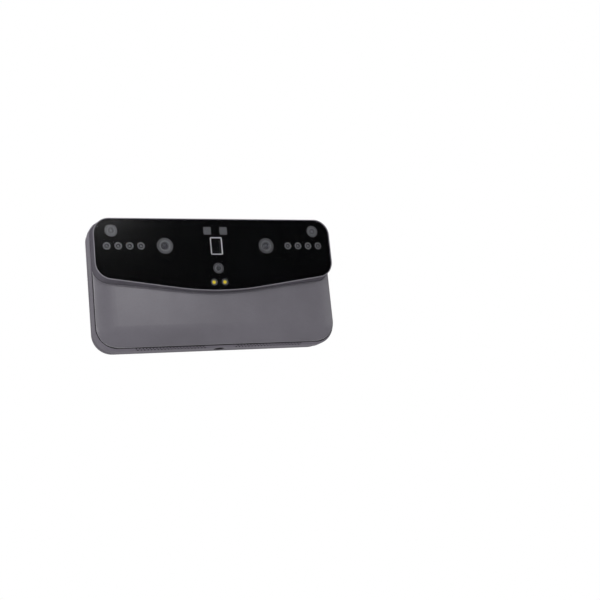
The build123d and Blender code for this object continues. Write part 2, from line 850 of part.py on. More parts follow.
# Black print behind the window, open where the optics look out
lamp_places = [half_width - lamp_last_inset - lamp_pitch * k for k in range(lamp_count)]
mask_plate = head_plate(rim_width + window_gap, mask_rear_depth, mask_thickness)
with BuildPart() as window_mask:
    add(mask_plate)
    with BuildSketch(at_depth(mask_rear_depth, led_row_rise)):
        for side in sides.values():
            with Locations((side * camera_offset, 0)):
                Circle(camera_radius + aperture_margin)
            with Locations((side * corner_lamp_offset, corner_lamp_rise)):
                Circle(corner_lamp_radius + aperture_margin)
            with Locations(*[(side * place, 0) for place in lamp_places]):
                Circle(lamp_radius + aperture_margin)
            with Locations((side * laser_offset, laser_rise)):
                Rectangle(laser_width + 2 * aperture_margin, laser_width + 2 * aperture_margin)
            with Locations((side * flash_offset, -flash_drop)):
                Circle(flash_radius + aperture_margin)
        with Locations((0, -texture_drop)):
            Circle(texture_radius + aperture_margin)
        RectangleRounded(
            projector_width + 2 * aperture_margin,
            projector_height + 2 * aperture_margin,
            projector_corner_radius,
        )
    extrude(amount=mask_thickness, mode=Mode.SUBTRACT)
keep(window_mask, "window_mask")

# Gasket between the print and the head's ledge
gasket_plate = head_plate(rim_width + window_gap, window_ledge_front, window_gasket_thickness)
gasket_hole = head_plate(
    rim_width + window_gap + window_gasket_width, window_ledge_front, window_gasket_thickness
)
with BuildPart() as window_gasket:
    add(gasket_plate)
    add(gasket_hole, mode=Mode.SUBTRACT)
keep(window_gasket, "window_gasket")

# Optical bench screwed to the head's bosses, with a cable slot under each camera
bench_plate = head_plate(shell_wall + bench_gap, bench_rear_depth, bench_thickness)
with BuildPart() as optical_bench:
    add(bench_plate)
    with BuildSketch(at_depth(bench_rear_depth, led_row_rise)):
        with bench_screw_spots():
            Circle(small_screw_radius + running_clearance)
        with Locations((-camera_offset, 0), (camera_offset, 0), (0, -texture_drop)):
            SlotOverall(cable_slot_length, cable_slot_width)
    extrude(amount=bench_thickness, mode=Mode.SUBTRACT)
keep(optical_bench, "optical_bench")

with BuildPart() as bench_screws:
    with BuildSketch(at_depth(bench_rear_depth, led_row_rise)):
        with bench_screw_spots():
            Circle(small_screw_head_radius)
    extrude(amount=-small_screw_head_height)
    with BuildSketch(at_depth(bench_rear_depth, led_row_rise)):
        with bench_screw_spots():
            Circle(small_screw_radius)
    extrude(amount=bench_thickness + boss_pilot_depth)
keep(bench_screws, "bench_screws")


def build_board(label, x, z, width, height):
    """Small circuit board on the front of the bench."""
    with BuildPart() as board:
        with BuildSketch(at_depth(bench_front_depth, led_row_rise)):
            with Locations((x, z)):
                Rectangle(width, height)
        extrude(amount=optics_board_thickness)
    keep(board, label)


def build_camera(label, x, z, radius, base_width, base_height, lens, groove):
    """Camera body with a square base, a grooved round barrel and a domed lens in its mouth."""
    lens_radius, lens_depth = lens
    groove_radius, groove_width, groove_depth = groove
    with BuildPart() as body:
        with BuildSketch(at_depth(optics_board_front, led_row_rise)):
            with Locations((x, z)):
                Rectangle(base_width, base_width)
        extrude(amount=base_height)
        with BuildSketch(at_depth(optics_board_front, led_row_rise)):
            with Locations((x, z)):
                Circle(radius)
        extrude(amount=optics_reach)
        with BuildSketch(at_depth(optics_front_depth, led_row_rise)):
            with Locations((x, z)):
                Circle(groove_radius)
                Circle(groove_radius - groove_width, mode=Mode.SUBTRACT)
        extrude(amount=-groove_depth, mode=Mode.SUBTRACT)
        with BuildSketch(at_depth(optics_front_depth, led_row_rise)):
            with Locations((x, z)):
                Circle(lens_radius + running_clearance)
        extrude(amount=-lens_depth, mode=Mode.SUBTRACT)
    keep(body, f"{label}_body")
    with BuildPart() as glass:
        with BuildSketch(at_depth(optics_front_depth - lens_depth, led_row_rise)):
            with Locations((x, z)):
                Circle(lens_radius)
        extrude(amount=lens_depth - lens_recess)
        fillet(glass.faces().sort_by(Axis.Y)[0].edges(), (lens_depth - lens_recess) * lens_dome_share)
    keep(glass, f"{label}_lens")


# Stereo cameras
camera_lens = (camera_lens_radius, camera_lens_depth)
camera_groove = (camera_groove_radius, camera_groove_width, camera_groove_depth)
for side_name, side in sides.items():
    x_place = side * camera_offset
    build_board(f"{side_name}_camera_board", x_place, 0, camera_base_width, camera_base_width)
    build_camera(
        f"{side_name}_camera", x_place, 0, camera_radius,
        camera_base_width, camera_base_height, camera_lens, camera_groove,
    )

# Texture camera
texture_lens = (texture_lens_radius, texture_lens_depth)
texture_groove = (texture_groove_radius, texture_groove_width, texture_groove_depth)
build_board("texture_camera_board", 0, -texture_drop, texture_base_width, texture_base_width)
build_camera(
    "texture_camera", 0, -texture_drop, texture_radius,
    texture_base_width, texture_base_height, texture_lens, texture_groove,
)

# Pattern projector: a block, a dark window and a bright trim round it
trim_front_depth = optics_front_depth - projector_trim_thickness
with BuildPart() as projector_body:
    with BuildSketch(at_depth(bench_front_depth, led_row_rise)):
        Rectangle(projector_width + projector_body_margin, projector_height + projector_body_margin)
    extrude(amount=trim_front_depth - bench_front_depth)
keep(projector_body, "projector_body")

with BuildPart() as projector_trim:
    with BuildSketch(at_depth(trim_front_depth, led_row_rise)):
        RectangleRounded(projector_width, projector_height, projector_corner_radius)
        RectangleRounded(
            projector_width - 2 * projector_trim_width,
            projector_height - 2 * projector_trim_width,
            projector_corner_radius - projector_trim_width,
            mode=Mode.SUBTRACT,
        )
    extrude(amount=projector_trim_thickness)
keep(projector_trim, "projector_trim")

with BuildPart() as projector_window:
    with BuildSketch(at_depth(trim_front_depth, led_row_rise)):
        RectangleRounded(
            projector_width - 2 * (projector_trim_width + seat_clearance),
            projector_height - 2 * (projector_trim_width + seat_clearance),
            projector_corner_radius - projector_trim_width - seat_clearance,
        )
    extrude(amount=projector_trim_thickness - seat_clearance)
keep(projector_window, "projector_window")

# Square laser modules on one board
build_board(
    "laser_board", 0, laser_rise,
    2 * laser_offset + laser_width + laser_board_margin, laser_width + laser_board_margin,
)
for side_name, side in sides.items():
    with BuildPart() as laser_module:
        with BuildSketch(at_depth(optics_board_front, led_row_rise)):
            with Locations((side * laser_offset, laser_rise)):
                RectangleRounded(laser_width, laser_width, laser_corner_radius)
        extrude(amount=optics_reach)
    keep(laser_module, f"{side_name}_laser_module")


def build_lamps(label, places, radius, dome_radius, dome_height):
    """Round lamps standing on their board, each with a small raised ring in its face."""
    with BuildPart() as lamps:
        with BuildSketch(at_depth(optics_board_front, led_row_rise)):
            with Locations(*places):
                Circle(radius)
        extrude(amount=optics_reach)
        with BuildSketch(at_depth(optics_front_depth, led_row_rise)):
            with Locations(*places):
                Circle((radius + dome_radius) / 2)
                Circle(dome_radius, mode=Mode.SUBTRACT)
        extrude(amount=-dome_height, mode=Mode.SUBTRACT)
    keep(lamps, label)


# Lamp rows and corner lamps, each side on one board
for side_name, side in sides.items():
    row_places = [(side * place, 0) for place in lamp_places]
    corner_place = (side * corner_lamp_offset, corner_lamp_rise)
    row_middle = (lamp_places[0] + lamp_places[-1]) / 2
    board_length = lamp_places[0] - lamp_places[-1] + 2 * (lamp_radius + lamp_board_margin)
    with BuildPart() as lamp_board:
        with BuildSketch(at_depth(bench_front_depth, led_row_rise)):
            with Locations((side * row_middle, 0)):
                Rectangle(board_length, 2 * (lamp_radius + lamp_board_margin))
            with Locations((side * corner_lamp_offset, corner_lamp_rise / 2)):
                Rectangle(corner_lamp_radius, corner_lamp_rise)
            with Locations(corner_place):
                Circle(corner_lamp_radius + corner_board_margin)
        extrude(amount=optics_board_thickness)
    keep(lamp_board, f"{side_name}_lamp_board")
    build_lamps(f"{side_name}_lamp_row", row_places, lamp_radius, lamp_dome_radius, lamp_dome_height)
    build_lamps(
        f"{side_name}_corner_lamp", [corner_place], corner_lamp_radius,
        corner_lamp_dome_radius, corner_lamp_dome_height,
    )

# Flash lamps, each with a sunk core
build_board(
    "flash_board", 0, -flash_drop,
    2 * (flash_offset + flash_radius + flash_board_margin), 2 * (flash_radius + flash_board_margin),
)
flash_places = [(side * flash_offset, -flash_drop) for side in sides.values()]
with BuildPart() as flash_lamps:
    with BuildSketch(at_depth(optics_board_front, led_row_rise)):
        with Locations(*flash_places):
            Circle(flash_radius)
    extrude(amount=optics_reach)
    with BuildSketch(at_depth(optics_front_depth, led_row_rise)):
        with Locations(*flash_places):
            Circle(flash_core_radius)
    extrude(amount=-flash_core_depth, mode=Mode.SUBTRACT)
keep(flash_lamps, "flash_lamps")
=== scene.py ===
"""Looks of the handheld three-d scanner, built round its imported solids.

The scan side faces -Y, the screen faces +Y and Z is up. Blender lengths are in metres.
Sizes of pieces are written in millimetres, and depths run from the screen face to the scan side.
"""

import json
from math import cos, pi, radians, sin
from typing import NamedTuple

import bmesh
import bpy
from mathutils import Matrix, Vector


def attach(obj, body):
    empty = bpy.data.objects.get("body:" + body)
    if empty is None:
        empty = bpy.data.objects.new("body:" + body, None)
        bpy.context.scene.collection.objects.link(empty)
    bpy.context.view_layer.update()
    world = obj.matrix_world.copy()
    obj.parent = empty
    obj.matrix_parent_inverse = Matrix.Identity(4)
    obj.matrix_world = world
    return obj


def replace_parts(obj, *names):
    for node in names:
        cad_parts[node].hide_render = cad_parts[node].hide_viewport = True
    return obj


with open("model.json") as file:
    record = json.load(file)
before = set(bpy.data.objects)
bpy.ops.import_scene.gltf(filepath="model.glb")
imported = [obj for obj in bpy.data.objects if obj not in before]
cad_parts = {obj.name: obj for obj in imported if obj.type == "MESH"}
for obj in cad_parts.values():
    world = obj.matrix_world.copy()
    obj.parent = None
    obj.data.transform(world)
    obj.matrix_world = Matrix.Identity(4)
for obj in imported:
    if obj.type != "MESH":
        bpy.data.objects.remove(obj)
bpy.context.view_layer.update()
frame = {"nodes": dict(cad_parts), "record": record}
nodes = frame["nodes"]


# ---------------------------------------------------------------- places read from the solids

MM = 0.001
SCREEN_FACE_Y = max(corner.co.y for corner in nodes["front_frame"].data.vertices) / MM


class Span(NamedTuple):
    """Extent of a solid in millimetres, from shallow near the screen to deep at the scan side."""

    left: float
    right: float
    shallow: float
    deep: float
    bottom: float
    top: float

    @property
    def x(self):
        return (self.left + self.right) / 2

    @property
    def depth(self):
        return (self.shallow + self.deep) / 2

    @property
    def z(self):
        return (self.bottom + self.top) / 2


def span(node_name):
    """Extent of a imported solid."""
    across, along, upward = zip(*(corner.co / MM for corner in nodes[node_name].data.vertices))
    return Span(min(across), max(across), SCREEN_FACE_Y - max(along), SCREEN_FACE_Y - min(along),
                min(upward), max(upward))


BOARD_FACE = span("left_camera_board").deep
OPTICS_FACE = span("left_camera_body").deep


# ---------------------------------------------------------------- node helpers

class NodeBoard:
    """A node tree with short ways to add a node and to feed its sockets."""

    def __init__(self, tree):
        self.tree = tree

    def add(self, kind, feeds=None, **settings):
        node = self.tree.nodes.new(kind)
        for name, value in settings.items():
            setattr(node, name, value)
        for socket, value in (feeds or {}).items():
            self.feed(node.inputs[socket], value)
        return node

    def feed(self, socket, value):
        if isinstance(value, bpy.types.NodeSocket):
            self.tree.links.new(value, socket)
        else:
            socket.default_value = value

    def maths(self, operation, first, second=0.0):
        return self.add("ShaderNodeMath", {0: first, 1: second}, operation=operation).outputs[0]

    def plus(self, first, second):
        return self.maths("ADD", first, second)

    def less(self, first, second):
        return self.maths("SUBTRACT", first, second)

    def times(self, first, second):
        return self.maths("MULTIPLY", first, second)

    def larger(self, first, second):
        return self.maths("MAXIMUM", first, second)

    def diagonal(self, first, second):
        return self.maths("SQRT", self.plus(self.times(first, first), self.times(second, second)))

    def ramp(self, value, low, high, low_out=0.0, high_out=1.0):
        """Smooth step from one output to the other between two values."""
        feeds = {0: value, 1: low, 2: high, 3: low_out, 4: high_out}
        return self.add("ShaderNodeMapRange", feeds, interpolation_type="SMOOTHSTEP").outputs[0]

    def tint(self, mask, first, second):
        """Colour that goes from the first to the second as the mask rises."""
        return self.add("ShaderNodeMix", {0: mask, 6: first, 7: second}, data_type="RGBA").outputs[2]

    def noise(self, where, scale, detail=2.0, roughness=0.5):
        feeds = {"Vector": where, "Scale": scale, "Detail": detail, "Roughness": roughness}
        return self.add("ShaderNodeTexNoise", feeds).outputs[0]

    def cells(self, where, scale, **settings):
        feeds = {"Vector": where, "Scale": scale}
        return self.add("ShaderNodeTexVoronoi", feeds, **settings).outputs["Distance"]

    def place(self):
        """Place on the piece, in metres."""
        return self.add("ShaderNodeTexCoord").outputs["Object"]

    def split(self, vector):
        return self.add("ShaderNodeSeparateXYZ", {0: vector}).outputs

    def choose(self, mask, first, second, output):
        """Put out the first shader, and the second where the mask is set."""
        feeds = {0: mask, 1: first.outputs[0], 2: second.outputs[0]}
        self.feed(output.inputs["Surface"], self.add("ShaderNodeMixShader", feeds).outputs[0])


def start_group(name, inputs, outputs):
    """Shader node group with named inputs and outputs, each float input with its usual value."""
    tree = bpy.data.node_groups.new(name, "ShaderNodeTree")
    for label, usual in inputs.items():
        socket = tree.interface.new_socket(label, in_out="INPUT", socket_type="NodeSocketFloat")
        socket.default_value = usual
    for label, kind in outputs.items():
        tree.interface.new_socket(label, in_out="OUTPUT", socket_type=kind)
    board = NodeBoard(tree)
    given = tree.nodes.new("NodeGroupInput").outputs
    result = tree.nodes.new("NodeGroupOutput").inputs
    return tree, board, given, result


FLOAT = "NodeSocketFloat"
VECTOR = "NodeSocketVector"


def make_moulded_grain():
    """Fine spark-eroded texture of a moulded shell: its height and a slight change of tone."""
    tree, board, given, result = start_group(
        "moulded_grain", {"Cells": 4200.0}, {"Height": FLOAT, "Tone": FLOAT})
    pit_share, fine_share, fine_scale = 0.6, 0.5, 1.7
    cloud_share, speck_share, cloud_scale, speck_scale = 0.6, 0.4, 38.0, 0.45
    where = board.place()
    pits = board.cells(where, given["Cells"])
    fine = board.noise(where, board.times(given["Cells"], fine_scale), detail=2.0, roughness=0.6)
    board.feed(result["Height"], board.plus(board.times(pits, pit_share), board.times(fine, fine_share)))
    cloud = board.noise(where, cloud_scale, detail=3.0, roughness=0.55)
    speck = board.noise(where, board.times(given["Cells"], speck_scale), detail=1.0, roughness=0.5)
    board.feed(result["Tone"], board.plus(board.times(cloud, cloud_share), board.times(speck, speck_share)))
    return tree


def make_soft_edges():
    """Normal rounded over a small radius at edges, and a mask of the edges themselves."""
    tree, board, given, result = start_group(
        "soft_edges", {"Radius": 0.3 * MM}, {"Normal": VECTOR, "Edge": FLOAT})
    flat, turned = 0.995, 0.86
    rounded_normal = board.add("ShaderNodeBevel", {"Radius": given["Radius"]}, samples=6).outputs[0]
    plain = board.add("ShaderNodeNewGeometry").outputs["Normal"]
    likeness = board.add("ShaderNodeVectorMath", {0: rounded_normal, 1: plain}, operation="DOT_PRODUCT")
    board.feed(result["Normal"], rounded_normal)
    board.feed(result["Edge"], board.ramp(likeness.outputs["Value"], flat, turned))
    return tree


def make_handling_marks():
    """Marks of handling: broad smudges that change gloss, fine scuffs, and dust on upward faces."""
    tree, board, given, result = start_group(
        "handling_marks", {"Size": 24.0}, {"Smudge": FLOAT, "Scuff": FLOAT, "Dust": FLOAT})
    scuff_lean, scuff_stretch, patch_scale = (0.3, 0.5, 0.8), (60.0, 900.0, 420.0), 3.1
    dust_scale, dust_slope, level_face = 2600.0, 0.45, 1.0
    where = board.place()
    wide = board.noise(where, given["Size"], detail=4.0, roughness=0.6)
    board.feed(result["Smudge"], board.ramp(wide, 0.35, 0.7))
    stretch = board.add(
        "ShaderNodeMapping", {"Vector": where, "Rotation": scuff_lean, "Scale": scuff_stretch})
    lines = board.noise(stretch.outputs[0], 3.0, detail=3.0, roughness=0.65)
    patch = board.noise(where, board.times(given["Size"], patch_scale), detail=2.0, roughness=0.5)
    board.feed(result["Scuff"], board.times(board.ramp(lines, 0.66, 0.74), board.ramp(patch, 0.52, 0.68)))
    upward = board.split(board.add("ShaderNodeNewGeometry").outputs["Normal"])["Z"]
    specks = board.noise(where, dust_scale, detail=2.0, roughness=0.6)
    board.feed(result["Dust"], board.times(
        board.ramp(upward, dust_slope, level_face), board.ramp(specks, 0.56, 0.74)))
    return tree


def make_joint_shadow():
    """Mask of painted shade in the narrow gaps where two mouldings meet, from ambient occlusion."""
    tree, board, given, result = start_group("joint_shadow", {"Reach": 1.0 * MM}, {"Joint": FLOAT})
    clear, closed = 0.72, 0.38
    openness = board.add("ShaderNodeAmbientOcclusion", {"Distance": given["Reach"]}, samples=8)
    board.feed(result["Joint"], board.ramp(openness.outputs["AO"], clear, closed))
    return tree


def make_drawn_lines():
    """Fine lines of drawn, blasted or turned metal, as a height and a mask."""
    tree, board, given, result = start_group(
        "drawn_lines", {"Along": 40.0, "Across": 5200.0}, {"Height": FLOAT, "Tone": FLOAT})
    scale = board.add("ShaderNodeCombineXYZ", {0: given["Along"], 1: given["Across"], 2: given["Across"]})
    spread = board.add(
        "ShaderNodeVectorMath", {0: board.place(), 1: scale.outputs[0]}, operation="MULTIPLY")
    lines = board.noise(spread.outputs[0], 1.0, detail=4.0, roughness=0.6)
    board.feed(result["Height"], lines)
    board.feed(result["Tone"], board.ramp(lines, 0.3, 0.7))
    return tree


def make_board_print():
    """Copper runs and pads under the lacquer of a circuit board."""
    tree, board, given, result = start_group(
        "board_print", {"Pitch": 900.0}, {"Runs": FLOAT, "Pads": FLOAT})
    bend_scale, bend_share, run_count, pad_scale = 160.0, 9.0, 3.0, 420.0
    where = board.place()
    bend = board.times(board.cells(where, bend_scale, distance="MANHATTAN"), bend_share)
    run = board.plus(board.times(board.split(where)["X"], given["Pitch"]), bend)
    stripe = board.maths("ABSOLUTE", board.maths("SINE", board.times(run, run_count)))
    board.feed(result["Runs"], board.ramp(stripe, 0.55, 0.75))
    board.feed(result["Pads"], board.ramp(board.cells(where, pad_scale), 0.2, 0.14))
    return tree


def make_woven_wire():
    """Over-and-under weave of fine steel wire, as a height and a mask of its gaps."""
    tree, board, given, result = start_group(
        "woven_wire", {"Wires": 9000.0}, {"Height": FLOAT, "Gap": FLOAT})
    place = board.split(board.place())
    warp = board.maths("SINE", board.times(place["X"], given["Wires"]))
    weft = board.maths("SINE", board.times(place["Z"], given["Wires"]))
    board.feed(result["Height"], board.times(warp, weft))
    crest = board.larger(board.maths("ABSOLUTE", warp), board.maths("ABSOLUTE", weft))
    board.feed(result["Gap"], board.ramp(crest, 0.55, 0.35))
    return tree


GRAIN = make_moulded_grain()
EDGES = make_soft_edges()
MARKS = make_handling_marks()
JOINT_SHADE_GROUP = make_joint_shadow()
LINES = make_drawn_lines()
PRINT = make_board_print()
WEAVE = make_woven_wire()


# ---------------------------------------------------------------- finishes

def shade(red, green, blue):
    """Linear colour from the tone that it should show."""
    def line(tone):
        part = tone / 255
        return part / 12.92 if part <= 0.04045 else ((part + 0.055) / 1.055) ** 2.4
    return (line(red), line(green), line(blue), 1.0)


def scaled(tone, share, lift=0.0):
    """Tone made darker or paler."""
    return tuple(min(1.0, part * share + lift) for part in tone[:3]) + (1.0,)


DUST_TONE = shade(150, 148, 144)
# Tone of the painted shade in narrow gaps between mouldings.
JOINT_SHADE_TONE = shade(14, 14, 15)
# Near black of the painted shade seen through the gaps of woven wire.
GAP_SHADE_TONE = shade(4, 4, 4)


def start_material(name):
    """Material with an empty tree but for its surface and output."""
    material = bpy.data.materials.new(name)
    material.use_nodes = True
    material.node_tree.nodes.clear()
    board = NodeBoard(material.node_tree)
    surface = board.add("ShaderNodeBsdfPrincipled")
    output = board.add("ShaderNodeOutputMaterial", {"Surface": surface.outputs[0]})
    return material, board, surface, output


def place_group(board, tree, **values):
    """Add a group with its input values, and give back its outputs."""
    node = board.add("ShaderNodeGroup", node_tree=tree)
    for label, value in values.items():
        node.inputs[label].default_value = value
    return node.outputs


def bump(board, height, depth, normal=None):
    """Normal that follows a height, over a depth in millimetres."""
    node = board.add("ShaderNodeBump", {"Height": height, "Distance": depth * MM, "Strength": 1.0})
    if normal is not None:
        board.feed(node.inputs["Normal"], normal)
    return node.outputs[0]


def moulded(name, tone, wear_and_highlight, rough, cells=4200.0, depth=0.012, edge=0.3, level=0.4,
            edge_share=0.35, dust_share=0.08, joint=0.0):
    """Moulded or painted shell: grain, softened edges in the wear and highlight tone, scuffs, smudges, dust,
    and painted shade in narrow gaps.
    """
    pit_tone, crest_tone = scaled(tone, 0.9), scaled(tone, 1.08)
    scuff_share, smudge_gloss, dust_gloss = 0.08, -0.05, 0.05
    material, board, surface, _ = start_material(name)
    grain = place_group(board, GRAIN, Cells=cells)
    marks = place_group(board, MARKS, Size=26.0)
    colour = board.tint(board.ramp(grain["Tone"], 0.35, 0.65), pit_tone, crest_tone)
    soft_normal = None
    if edge:
        edges = place_group(board, EDGES, Radius=edge * MM)
        soft_normal = edges["Normal"]
        # Edges take the wear and highlight tone; on the grip cover this paints the highlight of its rounded
        # edge.
        colour = board.tint(board.times(edges["Edge"], edge_share), colour, wear_and_highlight)
    colour = board.tint(board.times(marks["Scuff"], scuff_share), colour, wear_and_highlight)
    colour = board.tint(board.times(marks["Dust"], dust_share), colour, DUST_TONE)
    # Painted shade: the colour darkens where ambient occlusion finds a narrow gap between mouldings.
    if joint:
        joint_shade = place_group(board, JOINT_SHADE_GROUP, Reach=joint * MM)
        colour = board.tint(joint_shade["Joint"], colour, JOINT_SHADE_TONE)
    board.feed(surface.inputs["Base Color"], colour)
    gloss = board.plus(rough, board.times(board.less(marks["Smudge"], 0.5), smudge_gloss))
    board.feed(surface.inputs["Roughness"], board.plus(gloss, board.times(marks["Dust"], dust_gloss)))
    surface.inputs["Specular IOR Level"].default_value = level
    board.feed(surface.inputs["Normal"], bump(board, grain["Height"], depth, soft_normal))
    return material


def small_moulded(name, tone, wear_and_highlight, rough, depth=0.003, **more):
    """Moulded finish of small pieces: a coarser, shallower grain and no softened edges."""
    return moulded(name, tone, wear_and_highlight, rough, cells=2400.0, depth=depth, edge=0.0, **more)


def metal(name, tone, rough, along=40.0, across=5200.0, metallic=1.0):
    """Bare metal with drawn lines, brightened edges and finger marks."""
    groove_tone, edge_tone = scaled(tone, 0.82), scaled(tone, 1.35, 0.02)
    depth, edge, edge_share, smudge_gloss, line_gloss = 0.004, 0.2, 0.6, 0.1, 0.05
    material, board, surface, _ = start_material(name)
    lines = place_group(board, LINES, Along=along, Across=across)
    edges = place_group(board, EDGES, Radius=edge * MM)
    marks = place_group(board, MARKS, Size=40.0)
    colour = board.tint(lines["Tone"], groove_tone, tone)
    colour = board.tint(board.times(edges["Edge"], edge_share), colour, edge_tone)
    board.feed(surface.inputs["Base Color"], colour)
    gloss = board.plus(rough, board.times(marks["Smudge"], smudge_gloss))
    board.feed(surface.inputs["Roughness"], board.plus(gloss, board.times(lines["Tone"], line_gloss)))
    surface.inputs["Metallic"].default_value = metallic
    board.feed(surface.inputs["Normal"], bump(board, lines["Height"], depth, edges["Normal"]))
    return material


def rubber(name, tone):
    """Dull rubber, foam or putty with a soft grain."""
    rough, smudge_gloss, depth = 0.72, 0.15, 0.02
    material, board, surface, _ = start_material(name)
    grain = place_group(board, GRAIN, Cells=2600.0)
    marks = place_group(board, MARKS, Size=60.0)
    pale = scaled(tone, 1.6, 0.004)
    board.feed(surface.inputs["Base Color"], board.tint(board.ramp(grain["Tone"], 0.4, 0.75), tone, pale))
    board.feed(surface.inputs["Roughness"], board.plus(rough, board.times(marks["Smudge"], smudge_gloss)))
    surface.inputs["Specular IOR Level"].default_value = 0.25
    board.feed(surface.inputs["Normal"], bump(board, grain["Height"], depth))
    return material


def circuit(name, lacquer, copper):
    """Circuit board: lacquer over copper runs, with bare pads."""
    rough, grain_gloss, pad_metal, pad_height, depth, edge = 0.34, 0.2, 0.9, 0.6, 0.03, 0.2
    material, board, surface, _ = start_material(name)
    runs = place_group(board, PRINT, Pitch=900.0)
    edges = place_group(board, EDGES, Radius=edge * MM)
    grain = place_group(board, GRAIN, Cells=5200.0)
    colour = board.tint(runs["Runs"], lacquer, scaled(lacquer, 1.7, 0.003))
    board.feed(surface.inputs["Base Color"], board.tint(runs["Pads"], colour, copper))
    board.feed(surface.inputs["Metallic"], board.times(runs["Pads"], pad_metal))
    board.feed(surface.inputs["Roughness"], board.plus(rough, board.times(grain["Tone"], grain_gloss)))
    height = board.plus(runs["Runs"], board.times(runs["Pads"], pad_height))
    board.feed(surface.inputs["Normal"], bump(board, height, depth, edges["Normal"]))
    return material


def black_glass(name, tone, sheet):
    """Black cover glass with a display under it, a little paler than the print round it."""
    half_width, half_height, corner, blur = 75.8 * MM, 33.5 * MM, 5.5 * MM, 0.12 * MM
    rough, smudge_gloss = 0.06, 0.05
    material, board, surface, _ = start_material(name)
    marks = place_group(board, MARKS, Size=18.0)
    place = board.split(board.place())
    across = board.maths("ABSOLUTE", place["X"])
    upward = board.maths("ABSOLUTE", board.less(place["Z"], span("screen_glass").z * MM))
    beyond_x = board.larger(board.less(across, half_width - corner), 0.0)
    beyond_z = board.larger(board.less(upward, half_height - corner), 0.0)
    display = board.ramp(board.diagonal(beyond_x, beyond_z), corner + blur, corner - blur)
    board.feed(surface.inputs["Base Color"], board.tint(display, tone, sheet))
    board.feed(surface.inputs["Roughness"], board.plus(rough, board.times(marks["Smudge"], smudge_gloss)))
    surface.inputs["Specular IOR Level"].default_value = 0.07
    return material


def clear_glass(name, tone, index):
    """Coated glass that lets lamp light through to what lies behind it."""
    material, board, surface, output = start_material(name)
    marks = place_group(board, MARKS, Size=16.0)
    board.feed(surface.inputs["Base Color"], board.tint(marks["Smudge"], tone, scaled(tone, 0.985)))
    surface.inputs["Metallic"].default_value = 0.0
    surface.inputs["Roughness"].default_value = 0.0
    surface.inputs["Transmission Weight"].default_value = 1.0
    surface.inputs["IOR"].default_value = index
    surface.inputs["Coat Weight"].default_value = 0.014
    surface.inputs["Coat Roughness"].default_value = 0.15
    path = board.add("ShaderNodeLightPath").outputs
    lamp_ray = board.larger(path["Is Shadow Ray"], path["Is Diffuse Ray"])
    board.choose(lamp_ray, surface, board.add("ShaderNodeBsdfTransparent"), output)
    return material


def lens_coating(name, tone, rim):
    """Dark coated lens, with a tint that turns towards its rim."""
    rough, smudge_gloss = 0.06, 0.05
    material, board, surface, _ = start_material(name)
    marks = place_group(board, MARKS, Size=90.0)
    facing = board.add("ShaderNodeLayerWeight", {"Blend": 0.35}).outputs["Facing"]
    board.feed(surface.inputs["Base Color"], board.tint(facing, tone, rim))
    board.feed(surface.inputs["Roughness"], board.plus(rough, board.times(marks["Smudge"], smudge_gloss)))
    surface.inputs["Coat Weight"].default_value = 0.4
    surface.inputs["Coat Roughness"].default_value = 0.05
    return material


def wire_cloth(name, tone):
    """Cloth of woven wire, with its gaps painted near black as the shade seen through them."""
    wire_metal, depth = 0.9, 0.06
    material, board, surface, _ = start_material(name)
    weave = place_group(board, WEAVE, Wires=9000.0)
    board.feed(surface.inputs["Base Color"], board.tint(weave["Gap"], tone, GAP_SHADE_TONE))
    board.feed(surface.inputs["Metallic"], board.less(wire_metal, board.times(weave["Gap"], wire_metal)))
    board.feed(surface.inputs["Roughness"], board.ramp(weave["Height"], -1.0, 1.0, 0.45, 0.3))
    board.feed(surface.inputs["Normal"], bump(board, weave["Height"], depth))
    return material


def phosphor(name, core, rim):
    """Yellow phosphor of a flash lamp, grainy in tone and gloss."""
    rough, grain_gloss, depth = 0.35, 0.2, 0.02
    material, board, surface, _ = start_material(name)
    grain = place_group(board, GRAIN, Cells=5200.0)
    board.feed(surface.inputs["Base Color"], board.tint(board.ramp(grain["Tone"], 0.35, 0.7), core, rim))
    board.feed(surface.inputs["Roughness"], board.plus(rough, board.times(grain["Tone"], grain_gloss)))
    board.feed(surface.inputs["Normal"], bump(board, grain["Height"], depth))
    return material


